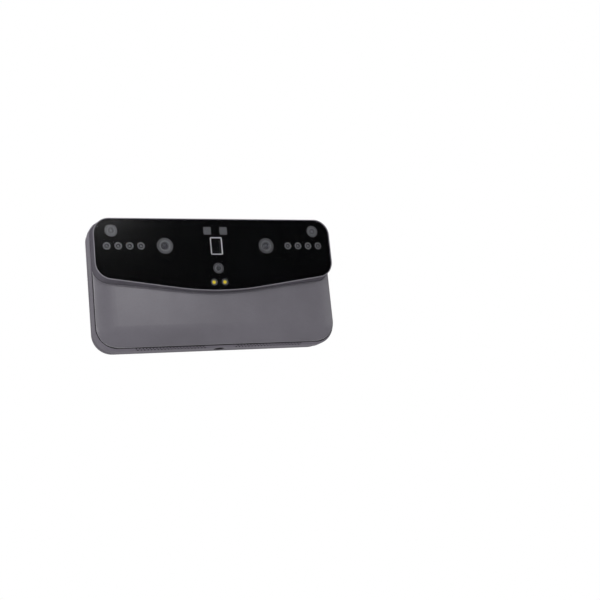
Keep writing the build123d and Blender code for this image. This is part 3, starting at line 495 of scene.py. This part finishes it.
finishes = {
    # joint gives the reach in millimetres of the painted shade in narrow gaps.
    "frame_metal": moulded(
        "ring_satin_silver", shade(102, 98, 107), shade(154, 152, 158), 0.46,
        cells=5200.0, depth=0.006, edge=0.4, level=0.03, joint=2.5),
    "housing_plastic": moulded(
        "side_band_grey", shade(118, 114, 123), shade(138, 135, 143), 0.5, level=0.03, joint=1.0),
    # Grip cover: its pale edge tone at a high share is a painted highlight along the rounded outer edge, over
    # wear.
    "cover_plastic": moulded(
        "grip_gunmetal", shade(99, 96, 104), shade(196, 194, 200), 0.34,
        cells=4600.0, depth=0.006, edge=0.6, level=0.45, edge_share=0.8, joint=1.0),
    "head_plastic": moulded(
        "head_gunmetal", shade(104, 101, 109), shade(200, 198, 204), 0.48,
        cells=4600.0, depth=0.008, edge=0.25, level=0.0, edge_share=0.9),
    "key_plastic": moulded(
        "key_grey", shade(86, 85, 90), shade(120, 118, 124), 0.42, cells=5200.0, depth=0.01, edge=0.2),
    "fan_plastic": moulded("fan_black", shade(26, 26, 28), shade(54, 54, 57), 0.5),
    "switch_plastic": moulded("switch_black", shade(22, 22, 24), shade(60, 60, 62), 0.4),
    "barrel_black": small_moulded("barrel_black", shade(24, 24, 26), shade(70, 70, 74), 0.5, depth=0.004),
    "lamp_dark": small_moulded("lamp_cap_grey", shade(78, 78, 80), shade(110, 110, 112), 0.4),
    "mask_black": small_moulded(
        "mask_ink", shade(8, 8, 9), shade(12, 12, 13), 0.7, level=0.0, dust_share=0.0),
    "display_black": moulded("panel_black", shade(18, 18, 20), shade(40, 40, 44), 0.35),
    "battery_film": moulded(
        "battery_wrap", shade(44, 46, 52), shade(90, 92, 98), 0.32, cells=1800.0, depth=0.02, edge=0.6),
    "pad_grey": rubber("pad_putty", shade(126, 130, 134)),
    "gasket_rubber": rubber("gasket_foam", shade(16, 16, 17)),
    "plate_metal": metal("plate_blasted", shade(168, 168, 170), 0.4),
    "bench_metal": metal("bench_anodised", shade(38, 38, 41), 0.42, 60.0, 4200.0, metallic=0.7),
    "sink_metal": metal("sink_drawn", shade(150, 152, 156), 0.32, 5200.0, 60.0),
    "screw_steel": metal("screw_zinc", shade(150, 150, 154), 0.28, 900.0, 2600.0),
    "socket_steel": metal("socket_nickel", shade(172, 172, 176), 0.22, 300.0, 3600.0),
    "bush_steel": metal("bush_black_oxide", shade(40, 40, 43), 0.42, 2600.0, 2600.0, metallic=0.5),
    "trim_silver": metal("trim_satin", shade(188, 188, 191), 0.4, 800.0, 3000.0, metallic=0.6),
    "laser_silver": small_moulded("laser_face_grey", shade(70, 70, 73), shade(100, 100, 102), 0.42),
    "mesh_steel": wire_cloth("mesh_black_cloth", shade(16, 16, 18)),
    "board_green": circuit("board_lacquer", shade(18, 52, 34), shade(190, 150, 84)),
    "screen_glass": black_glass("screen_black_glass", shade(3, 3, 4), shade(20, 20, 21)),
    "window_glass": clear_glass("window_coated_glass", shade(236, 237, 240), 1.02),
    "lens_glass": lens_coating("lens_coated", shade(20, 20, 26), shade(60, 50, 84)),
    "flash_white": small_moulded("flash_cap", shade(70, 70, 72), shade(110, 110, 112), 0.35),
}
gold_finish = metal("contact_gold", shade(214, 176, 98), 0.25, 900.0, 2600.0)
phosphor_finish = phosphor("flash_phosphor", shade(250, 226, 30), shade(232, 200, 22))
lamp_ring_finish = small_moulded("lamp_ring_grey", shade(94, 94, 97), shade(116, 116, 118), 0.36)
lamp_well_finish = small_moulded("lamp_well_dark", shade(14, 14, 15), shade(30, 30, 31), 0.4)
camera_face_finish = small_moulded("camera_face_grey", shade(62, 62, 64), shade(88, 88, 91), 0.42)
# Head rim: paler than the head, a painted highlight of the light that the rim catches.
rim_highlight_finish = moulded(
    "rim_highlight_grey", shade(140, 137, 145), shade(176, 174, 180), 0.36,
    cells=5200.0, depth=0.004, edge=0.2, level=0.2)
pane_finish = moulded(
    "projector_pane_black", shade(3, 3, 4), shade(12, 12, 13), 0.3,
    cells=5200.0, depth=0.002, edge=0.1, level=0.02, edge_share=0.1, dust_share=0.0)

node_slot = {part["node"]: part["material_slot"] for part in frame["record"]["subparts"]}
for name, thing in nodes.items():
    thing.data.materials.clear()
    thing.data.materials.append(finishes[node_slot[name]])


# ---------------------------------------------------------------- ways to shape a piece

SHARP_ANGLE = radians(32)
SOFTENED_ANGLE = radians(40)
WELD = 0.0001
ROUND_STEPS, LAMP_STEPS, BEAD_STEPS = 64, 48, 40
BEAD_ROWS = 6


def spot(x, depth, z):
    """Place in metres from millimetres across, behind the screen face and above the base."""
    return Vector((x, SCREEN_FACE_Y - depth, z)) * MM


def settle(name, form, finish, smooth=True):
    """Turn a bmesh into a named piece with its finish, riding on the scanner."""
    bmesh.ops.remove_doubles(form, verts=form.verts, dist=WELD * MM)
    bmesh.ops.recalc_face_normals(form, faces=form.faces)
    mesh = bpy.data.meshes.new(name)
    form.to_mesh(mesh)
    form.free()
    if smooth:
        mesh.shade_smooth()
        mesh.set_sharp_from_angle(angle=SHARP_ANGLE)
    mesh.materials.append(finish)
    piece = bpy.data.objects.new(name, mesh)
    bpy.context.scene.collection.objects.link(piece)
    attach(piece, "scanner")
    return piece


def soften(piece, width, segments=2):
    """Round the sharp edges of a piece over a width in millimetres."""
    bevel = piece.modifiers.new("softened_edges", "BEVEL")
    bevel.width = width * MM
    bevel.segments = segments
    bevel.limit_method = "ANGLE"
    bevel.angle_limit = SOFTENED_ANGLE
    bevel.harden_normals = True


def turn(form, x, z, profile, steps=ROUND_STEPS):
    """Add a turned shape about an axis along the depth: profile points are radius and depth."""
    angles = [2 * pi * k / steps for k in range(steps)]
    rows = []
    for radius, depth in profile:
        ring = [(radius * cos(a), radius * sin(a)) for a in angles] if radius else [(0, 0)]
        rows.append([form.verts.new(spot(x + across, depth, z + upward)) for across, upward in ring])
    for first, second in zip(rows, rows[1:]):
        for k in range(steps):
            after = (k + 1) % steps
            corners = [first[k % len(first)], first[after % len(first)],
                       second[after % len(second)], second[k % len(second)]]
            unique = list(dict.fromkeys(corners))
            if len(unique) > 2:
                form.faces.new(unique)


def block(form, low, high):
    """Add a box between two corners given as across, depth and height."""
    bottom, top = spot(*low), spot(*high)
    size = top - bottom
    stretch = Matrix.Diagonal((abs(size.x), abs(size.y), abs(size.z), 1.0))
    bmesh.ops.create_cube(form, size=1.0, matrix=Matrix.Translation((bottom + top) / 2) @ stretch)


def sweep(form, sections, closed=False):
    """Add a skin through sections with as many points each. Open ends are capped."""
    rows = [[form.verts.new(spot(*point)) for point in section] for section in sections]
    onward = rows[1:] + rows[:1] if closed else rows[1:]
    for first, second in zip(rows, onward):
        for k in range(len(first)):
            after = (k + 1) % len(first)
            form.faces.new([first[k], first[after], second[after], second[k]])
    if not closed:
        form.faces.new(rows[0])
        form.faces.new(rows[-1])


def dome(radius, rise, depth, count=8):
    """Profile of a shallow dome from its edge to its crown, at a depth."""
    rows = [(radius * cos(pi / 2 * k / count), depth + rise * sin(pi / 2 * k / count)) for k in range(count)]
    return rows + [(0, depth + rise)]


def rounded(half_x, half_z, radius, steps=6):
    """Points round a rectangle with rounded corners."""
    points = []
    for quarter, (x, z) in enumerate(((1, 1), (-1, 1), (-1, -1), (1, -1))):
        for k in range(steps + 1):
            angle = (quarter + k / steps) * pi / 2
            points.append((x * (half_x - radius) + radius * cos(angle),
                           z * (half_z - radius) + radius * sin(angle)))
    return points


def lower_outline(half_width, base, radius, top, steps=16):
    """Points down one side of the body, round its base corners and up the other side."""
    quarter = [k / steps * pi / 2 for k in range(steps + 1)]
    left = [(-half_width + radius - radius * cos(a), base + radius - radius * sin(a)) for a in quarter]
    right = [(-x, z) for x, z in reversed(left)]
    return [(-half_width, top)] + left + right + [(half_width, top)]


# ---------------------------------------------------------------- pieces behind the window

LARGE_BARREL = 5.8


def build_camera(name, radius, base_height):
    """Camera: a square base, a barrel with a stepped front, and a coated lens in its well."""
    body, face = span(f"{name}_body"), OPTICS_FACE
    x, z, step = body.x, body.z, BOARD_FACE + base_height
    share = radius / LARGE_BARREL
    groove_out, groove_in, slope = 4.5 * share, 4.0 * share, 0.1 * share
    mouth, throat, well, lens = 3.05 * share, 2.3 * share, 2.2 * share, 2.15 * share
    edge, groove_drop, dish = 0.15, 0.12, 0.02
    mouth_floor, throat_floor, well_floor = face - 0.3, face - 0.75, face - 1.2

    barrel = bmesh.new()
    block(barrel, (body.left, BOARD_FACE, body.bottom), (body.right, step, body.top))
    turn(barrel, x, z, [
        (0, step), (radius, step), (radius, face - edge), (radius - edge, face),
        (groove_out, face), (groove_out - slope, face - groove_drop),
        (groove_in + slope, face - groove_drop), (groove_in, face),
        (mouth, face - dish), (mouth - slope, mouth_floor), (throat, throat_floor),
        (well, well_floor), (0, well_floor)])
    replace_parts(settle(f"{name}_barrel", barrel, camera_face_finish), f"{name}_body")

    lens_edge, lens_rise = 0.25, 0.75
    glass = bmesh.new()
    turn(glass, x, z, [(0, well_floor), (lens, well_floor)] + dome(lens, lens_rise, well_floor + lens_edge))
    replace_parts(settle(f"{name}_front_lens", glass, finishes["lens_glass"]), f"{name}_lens")

    ring_out, ring_in, bevel = 3.9 * share, 3.15 * share, 0.05 * share
    ring_foot, ring_face = face - 0.03, face + 0.05
    ring = bmesh.new()
    turn(ring, x, z, [
        (ring_out, ring_foot), (ring_out - bevel, ring_face), (ring_in + bevel, ring_face),
        (ring_in, ring_foot), (ring_out, ring_foot)])
    settle(f"{name}_retaining_ring", ring, lamp_ring_finish)


def build_lamp_set(name, places, radius, ring, well, bead, floor_finish):
    """Lamps of one size: caps with a paler ring, a well with its own floor, and a small bead in it."""
    face = OPTICS_FACE
    edge, seat, seat_gap, seat_lean = 0.12, 0.1, 0.06, 0.02
    well_drop, well_lean = 0.42, 0.12
    ring_in, ring_bevel = well + 0.02, 0.08
    ring_foot, ring_shoulder, ring_face = face - 0.12, face + 0.02, face + 0.06
    floor_sunk, floor_skin, floor_round = 0.01, 0.06, 0.08
    lip, lip_skin, lip_drop, lip_rise = well - 0.02, 0.06, 0.16, 0.02
    floor_edge, floor_back = well - well_lean, face - well_drop - floor_sunk
    bead_back, bead_rise = face - 0.4, 0.3
    caps, rings, wells, beads = bmesh.new(), bmesh.new(), bmesh.new(), bmesh.new()
    for x, z in places:
        turn(caps, x, z, [
            (0, BOARD_FACE), (radius, BOARD_FACE), (radius, face - edge), (radius - edge, face),
            (ring + seat_gap, face), (ring + seat_gap - seat_lean, face - seat), (well, face - seat),
            (floor_edge, face - well_drop), (0, face - well_drop)], LAMP_STEPS)
        turn(rings, x, z, [
            (ring, ring_foot), (ring, ring_shoulder), (ring - ring_bevel, ring_face),
            (ring_in + ring_bevel, ring_face), (ring_in, ring_shoulder), (ring_in, ring_foot),
            (ring, ring_foot)], LAMP_STEPS)
        turn(wells, x, z, [
            (0, floor_back), (floor_edge - floor_sunk, floor_back), (lip, face - lip_drop),
            (lip - lip_skin, face - lip_drop + lip_rise), (floor_edge - floor_round, floor_back + floor_skin),
            (0, floor_back + floor_skin)], LAMP_STEPS)
        turn(beads, x, z, [(0, bead_back)] + dome(bead, bead_rise, bead_back, BEAD_ROWS), BEAD_STEPS)
    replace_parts(settle(f"{name}_caps", caps, finishes["lamp_dark"]), name)
    settle(f"{name}_rings", rings, lamp_ring_finish)
    settle(f"{name}_wells", wells, floor_finish)
    settle(f"{name}_beads", beads, lamp_ring_finish)


def build_lamps(side_name, side):
    """Row of four lamps and the larger lamp in the corner of one side."""
    row, corner = span(f"{side_name}_lamp_row"), span(f"{side_name}_corner_lamp")
    count, half_lamp = 4, (row.top - row.bottom) / 2
    outer = max(abs(row.left), abs(row.right)) - half_lamp
    inner = min(abs(row.left), abs(row.right)) + half_lamp
    pitch = (outer - inner) / (count - 1)
    places = [(side * (outer - pitch * k), row.z) for k in range(count)]
    build_lamp_set(f"{side_name}_lamp_row", places, radius=2.65, ring=2.5, well=1.65, bead=0.8,
                   floor_finish=lamp_well_finish)
    build_lamp_set(f"{side_name}_corner_lamp", [(corner.x, corner.z)], radius=4.3, ring=2.75, well=2.3,
                   bead=0.9, floor_finish=camera_face_finish)


def build_flash_pair():
    """Two flash lamps: a dark cap, a pale cup and a domed yellow phosphor."""
    pair, face = span("flash_lamps"), OPTICS_FACE
    cap, edge = 2.5, 0.1
    mouth, mouth_lean, mouth_floor = 1.72, 0.02, face - 0.3
    cup_out, cup_lean, cup_edge = 1.68, 0.02, face + 0.02
    cup_lip, cup_lip_face, cup_throat, cup_throat_face = 1.55, face + 0.05, 1.4, face - 0.02
    cup_in, cup_skin = 1.3, 0.02
    core, core_back, core_rise = 1.28, face - 0.29, 0.3
    caps, cups, cores = bmesh.new(), bmesh.new(), bmesh.new()
    for side in (-1, 1):
        x, z = side * (pair.right - cap), pair.z
        turn(caps, x, z, [
            (0, BOARD_FACE), (cap, BOARD_FACE), (cap, face - edge), (cap - edge, face),
            (mouth, face), (mouth - mouth_lean, mouth_floor), (0, mouth_floor)], LAMP_STEPS)
        turn(cups, x, z, [
            (cup_out, mouth_floor), (cup_out - cup_lean, cup_edge), (cup_lip, cup_lip_face),
            (cup_throat, cup_throat_face), (cup_in, mouth_floor + cup_skin), (cup_out, mouth_floor)],
            LAMP_STEPS)
        turn(cores, x, z, [(0, core_back)] + dome(core, core_rise, core_back, BEAD_ROWS), BEAD_STEPS)
    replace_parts(settle("flash_caps", caps, finishes["flash_white"]), "flash_lamps")
    settle("flash_cups", cups, lamp_ring_finish)
    settle("flash_cores", cores, phosphor_finish)


def build_projector_front():
    """Dark pane of the projector, the silver frame round it and the slit line near its edge."""
    solid, face = span("projector_trim"), OPTICS_FACE
    draw_in, wall, pane_gap = 0.1, 0.66, 0.04
    half_x, half_z = solid.right - draw_in, (solid.top - solid.bottom) / 2 - draw_in
    back, bevel, pane_edge = face - 0.8, 0.08, 0.12
    pane_x, pane_z, pane_face = half_x - wall - pane_gap, half_z - wall - pane_gap, face - 0.25
    pane = bmesh.new()
    block(pane, (-pane_x, back, solid.z - pane_z), (pane_x, pane_face, solid.z + pane_z))
    piece = settle("projector_pane", pane, pane_finish, smooth=False)
    soften(piece, pane_edge)
    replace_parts(piece, "projector_window")

    corner, inner_corner, inner_ease = 0.9, 0.36, 0.06
    loops = [
        [(x, depth, solid.z + z) for x, z in rounded(half_x - inset, half_z - inset, radius)]
        for inset, radius, depth in (
            (0.0, corner, back), (0.0, corner, face - bevel), (bevel, corner - bevel, face),
            (wall - bevel, inner_corner + inner_ease, face), (wall, inner_corner, face - bevel),
            (wall, inner_corner, back))]
    trim = bmesh.new()
    sweep(trim, list(zip(*loops)), closed=True)
    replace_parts(settle("projector_frame", trim, finishes["trim_silver"]), "projector_trim")

    slit_from, slit_to, slit_half = 2.25, 2.5, 4.9
    slit_sunk, slit_proud = 0.02, 0.05
    slit = bmesh.new()
    block(slit, (slit_from, pane_face - slit_sunk, solid.z - slit_half),
          (slit_to, pane_face + slit_proud, solid.z + slit_half))
    settle("projector_slit_edge", slit, lamp_well_finish, smooth=False)


# ---------------------------------------------------------------- pieces of the body

COVER_CORNER = 14.9


def build_port_contacts():
    """Gold contact strips on both faces of the port's tongue."""
    port = span("usb_receptacle")
    count, pitch, half_strip = 12, 0.5, 0.13
    half_tongue, strip_rise, setback, length = 0.34, 0.05, 1.5, 4.0
    far = port.right - setback
    strips = bmesh.new()
    for k in range(count):
        z = port.z + (k - (count - 1) / 2) * pitch
        for face in (-1, 1):
            foot = port.depth + face * half_tongue
            block(strips, (far - length, foot, z - half_strip), (far, foot + face * strip_rise, z + half_strip))
    settle("port_contacts", strips, gold_finish, smooth=False)


def build_bush_thread():
    """Screw thread standing in from the bore of the tripod bush."""
    bush = span("tripod_bush")
    pitch, turns, steps = 1.27, 6, 40
    bore, crest, lead_in = 3.19, 2.62, 0.2
    rise_to_crest, rise_off_crest, rise_to_root = 0.42 * pitch, 0.54 * pitch, 0.96 * pitch
    sections = []
    for k in range(turns * steps + 1):
        angle = 2 * pi * k / steps
        z = bush.bottom + lead_in + pitch * k / steps
        fade = min(1.0, k / steps, (turns * steps - k) / steps)
        inner = bore - (bore - crest) * fade
        profile = [(bore, z), (inner, z + rise_to_crest), (inner, z + rise_off_crest), (bore, z + rise_to_root)]
        sections.append([(r * cos(angle), bush.depth - r * sin(angle), h) for r, h in profile])
    thread = bmesh.new()
    sweep(thread, sections)
    settle("bush_thread", thread, finishes["bush_steel"])


def build_grip_cover():
    """Grip cover with its outer edge rounded and drawn in, so that the joint round it shows."""
    solid = span("rear_grip_cover")
    half_width, base, radius = solid.right, solid.bottom, COVER_CORNER
    draw_in, edge_band, edge_round = 0.25, 0.2, 0.4
    mesh = nodes["rear_grip_cover"].data.copy()
    mesh.name = "grip_cover"
    for corner in mesh.vertices:
        x, z = abs(corner.co.x) / MM, corner.co.z / MM
        beyond_x, beyond_z = x - (half_width - radius), base + radius - z
        if beyond_x > 0 and beyond_z > 0:
            reach = (beyond_x ** 2 + beyond_z ** 2) ** 0.5
            inside, lean_x, lean_z = radius - reach, beyond_x / reach, beyond_z / reach
        elif beyond_x > 0:
            inside, lean_x, lean_z = half_width - x, 1.0, 0.0
        else:
            inside, lean_x, lean_z = z - base, 0.0, 1.0
        if inside < edge_band:
            corner.co.x -= (1 if corner.co.x > 0 else -1) * lean_x * draw_in * MM
            corner.co.z += lean_z * draw_in * MM
    cover = bpy.data.objects.new("grip_cover", mesh)
    bpy.context.scene.collection.objects.link(cover)
    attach(cover, "scanner")
    soften(cover, edge_round, 3)
    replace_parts(cover, "rear_grip_cover")


def build_joint_shade_strip():
    """Dark rubber strip in the joint between the grip cover and the side band, as painted shade of the gap."""
    cover, band_face = span("rear_grip_cover"), span("mid_housing").deep
    grow, shrink, top = 0.2, 1.1, 55.0
    back, outer_face, inner_face = band_face - 0.1, band_face + 0.16, band_face + 0.24
    outer, inner = (
        lower_outline(cover.right + step, cover.bottom - step, COVER_CORNER + step, top)
        for step in (grow, -shrink))
    # Its dark finish shows as the painted shade of the gap.
    shade_band = bmesh.new()
    sweep(shade_band, [
        [(x, back, z), (x, outer_face, z), (inner_x, inner_face, inner_z), (inner_x, back, inner_z)]
        for (x, z), (inner_x, inner_z) in zip(outer, inner)])
    settle("joint_shade_strip", shade_band, finishes["gasket_rubber"])


def build_vent_cloth():
    """Black cloth set in the sloped wall, close behind the vents, near enough to the surface to paint the shade
    in the vent holes.
    """
    slope_run, along_slope = 1.5, 0.5 ** 0.5
    slope_depth, slope_z = span("mid_housing").deep - slope_run / 2, slope_run / 2
    # The small rise puts the cloth just under the surface, so that it paints the shade inside the vent holes.
    rise, half_run, thick, crown = 0.06, 1.04, 0.16, 0.08
    start, end = 11.0, 61.9
    profile = [(-half_run, rise), (half_run, rise), (half_run, rise + thick),
               (0.0, rise + thick + crown), (-half_run, rise + thick)]
    cloth = bmesh.new()
    for side in (-1, 1):
        sweep(cloth, [
            [(side * x, slope_depth - (sink - run) * along_slope, slope_z + (sink + run) * along_slope)
             for run, sink in profile]
            for x in (start, (start + end) / 2, end)])
    piece = settle("vent_cloth", cloth, finishes["mesh_steel"], smooth=False)
    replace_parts(piece, "vent_mesh")


def build_head_rim():
    """Rim of the head, a paler copy of its faces that paints the rim's highlight: the flat and the chamfer
    round the window, a hair proud of the solid.
    """
    rim_depth, proud = 0.25, 0.03
    form = bmesh.new()
    form.from_mesh(nodes["scan_head_shell"].data)
    front = min(corner.co.y for corner in form.verts)
    spare = [face for face in form.faces
             if max(corner.co.y for corner in face.verts) > front + rim_depth * MM]
    bmesh.ops.delete(form, geom=spare, context="FACES")
    form.normal_update()
    for corner in form.verts:
        corner.co += corner.normal * proud * MM
    settle("head_rim", form, rim_highlight_finish)


def build_window_pane():
    """Window glass a hair thinner than its solid, so that it clears the print behind it."""
    back_band, print_gap = 0.05, 0.06
    form = bmesh.new()
    form.from_mesh(nodes["scan_window"].data)
    back = max(corner.co.y for corner in form.verts)
    for corner in form.verts:
        if corner.co.y > back - back_band * MM:
            corner.co.y = back - print_gap * MM
    pane = settle("window_pane", form, finishes["window_glass"], smooth=False)
    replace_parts(pane, "scan_window")


for side_name, side in (("left", -1), ("right", 1)):
    build_camera(f"{side_name}_camera", radius=LARGE_BARREL, base_height=1.6)
    build_lamps(side_name, side)
build_camera("texture_camera", radius=3.9, base_height=1.4)
build_flash_pair()
build_projector_front()
build_port_contacts()
build_bush_thread()
build_grip_cover()
build_joint_shade_strip()
build_vent_cloth()
build_head_rim()
build_window_pane()


# ---------------------------------------------------------------- stage

CAMERA_PLACE = Vector((-0.2317, -0.7104, -0.1213))
CAMERA_RIGHT = Vector((0.9252, -0.3656, -0.1015))
CAMERA_AHEAD = Vector((0.3789, 0.9040, 0.1979))
CAMERA_LENS, CAMERA_SENSOR, CAMERA_NEAR = 63.6, 36, 0.01
AIM = Vector((0, 0, 0.045))
WHITE, BLACK = (1.0, 1.0, 1.0, 1.0), (0.0, 0.0, 0.0, 1.0)


def build_camera_view():
    """Camera at the photograph's place, for a square picture."""
    ahead = CAMERA_AHEAD.normalized()
    right = (CAMERA_RIGHT - ahead * CAMERA_RIGHT.dot(ahead)).normalized()
    up = right.cross(ahead).normalized()
    lens = bpy.data.cameras.new("photo_camera")
    lens.sensor_width = CAMERA_SENSOR
    lens.lens = CAMERA_LENS
    lens.clip_start = CAMERA_NEAR
    view = bpy.data.objects.new("photo_camera", lens)
    turned = Matrix((right, up, -ahead)).transposed().to_4x4()
    turned.translation = CAMERA_PLACE
    view.matrix_world = turned
    bpy.context.scene.collection.objects.link(view)
    bpy.context.scene.camera = view


def build_lamp_panel(name, place, size, power):
    """Soft white panel that lights the middle of the scanner."""
    lamp = bpy.data.lights.new(name, "AREA")
    lamp.shape = "RECTANGLE"
    lamp.size, lamp.size_y = size
    lamp.energy = power
    panel = bpy.data.objects.new(name, lamp)
    panel.location = place
    panel.rotation_euler = (AIM - Vector(place)).to_track_quat("-Z", "Y").to_euler()
    panel.visible_camera = False
    bpy.context.scene.collection.objects.link(panel)


def build_floor():
    """Pale floor just under the base, seen from above only, that fades into the white room."""
    half_size, gap, fade_from, fade_to = 2.5, 0.0004, 0.25, 0.9
    near_glow = (0.24, 0.24, 0.24, 1.0)
    form = bmesh.new()
    bmesh.ops.create_grid(form, x_segments=1, y_segments=1, size=half_size)
    mesh = bpy.data.meshes.new("pale_floor")
    form.to_mesh(mesh)
    form.free()
    floor = bpy.data.objects.new("pale_floor", mesh)
    floor.location = (0, 0, -gap)
    bpy.context.scene.collection.objects.link(floor)
    material, board, surface, output = start_material("pale_floor")
    grain = place_group(board, GRAIN, Cells=900.0)
    place = board.split(board.place())
    far = board.ramp(board.diagonal(place["X"], place["Y"]), fade_from, fade_to)
    pale = board.tint(grain["Tone"], shade(236, 236, 236), shade(242, 242, 242))
    board.feed(surface.inputs["Base Color"], board.tint(far, pale, BLACK))
    board.feed(surface.inputs["Emission Color"], board.tint(far, near_glow, WHITE))
    surface.inputs["Emission Strength"].default_value = 1.0
    surface.inputs["Roughness"].default_value = 0.9
    surface.inputs["Specular IOR Level"].default_value = 0.1
    below = board.add("ShaderNodeNewGeometry").outputs["Backfacing"]
    board.choose(below, surface, board.add("ShaderNodeBsdfTransparent"), output)
    mesh.materials.append(material)
    floor.visible_diffuse = False
    floor.visible_glossy = False
    floor.visible_transmission = False
    floor.visible_shadow = False


def build_world():
    """White room for the camera, glass and gloss, with soft light that comes mostly from below."""
    light_below, light_above, horizon = 0.58, 0.08, 0.1
    world = bpy.data.worlds.new("studio")
    bpy.context.scene.world = world
    world.use_nodes = True
    world.node_tree.nodes.clear()
    board = NodeBoard(world.node_tree)
    path = board.add("ShaderNodeLightPath").outputs
    seen = board.larger(path["Is Camera Ray"], path["Is Glossy Ray"])
    seen = board.larger(seen, path["Is Transmission Ray"])
    height = board.split(board.add("ShaderNodeTexCoord").outputs["Generated"])["Z"]
    level = board.ramp(height, -horizon, horizon, light_below, light_above)
    soft = board.add("ShaderNodeBackground", {"Color": WHITE, "Strength": level})
    white = board.add("ShaderNodeBackground", {"Color": WHITE, "Strength": 1.0})
    board.choose(seen, soft, white, board.add("ShaderNodeOutputWorld"))


build_camera_view()
build_floor()
build_world()
build_lamp_panel("left_strip", (-1.200, -1.008, 0.320), size=(0.25, 0.9), power=11.0)
build_lamp_panel("left_panel", (-0.999, -1.208, 0.322), size=(0.8, 0.8), power=0.8)
build_lamp_panel("top_panel", (0.19, -1.46, 0.575), size=(0.2, 0.12), power=3.7)
build_lamp_panel("right_panel", (1.433, -0.637, 0.318), size=(0.8, 0.8), power=2.2)
build_lamp_panel("back_panel", (0.35, 1.5, 0.9), size=(1.2, 0.8), power=22.0)
build_lamp_panel("over_panel", (0.3, 0.35, 1.5), size=(1.0, 0.8), power=11.0)
bpy.context.scene.view_settings.view_transform = "Standard"
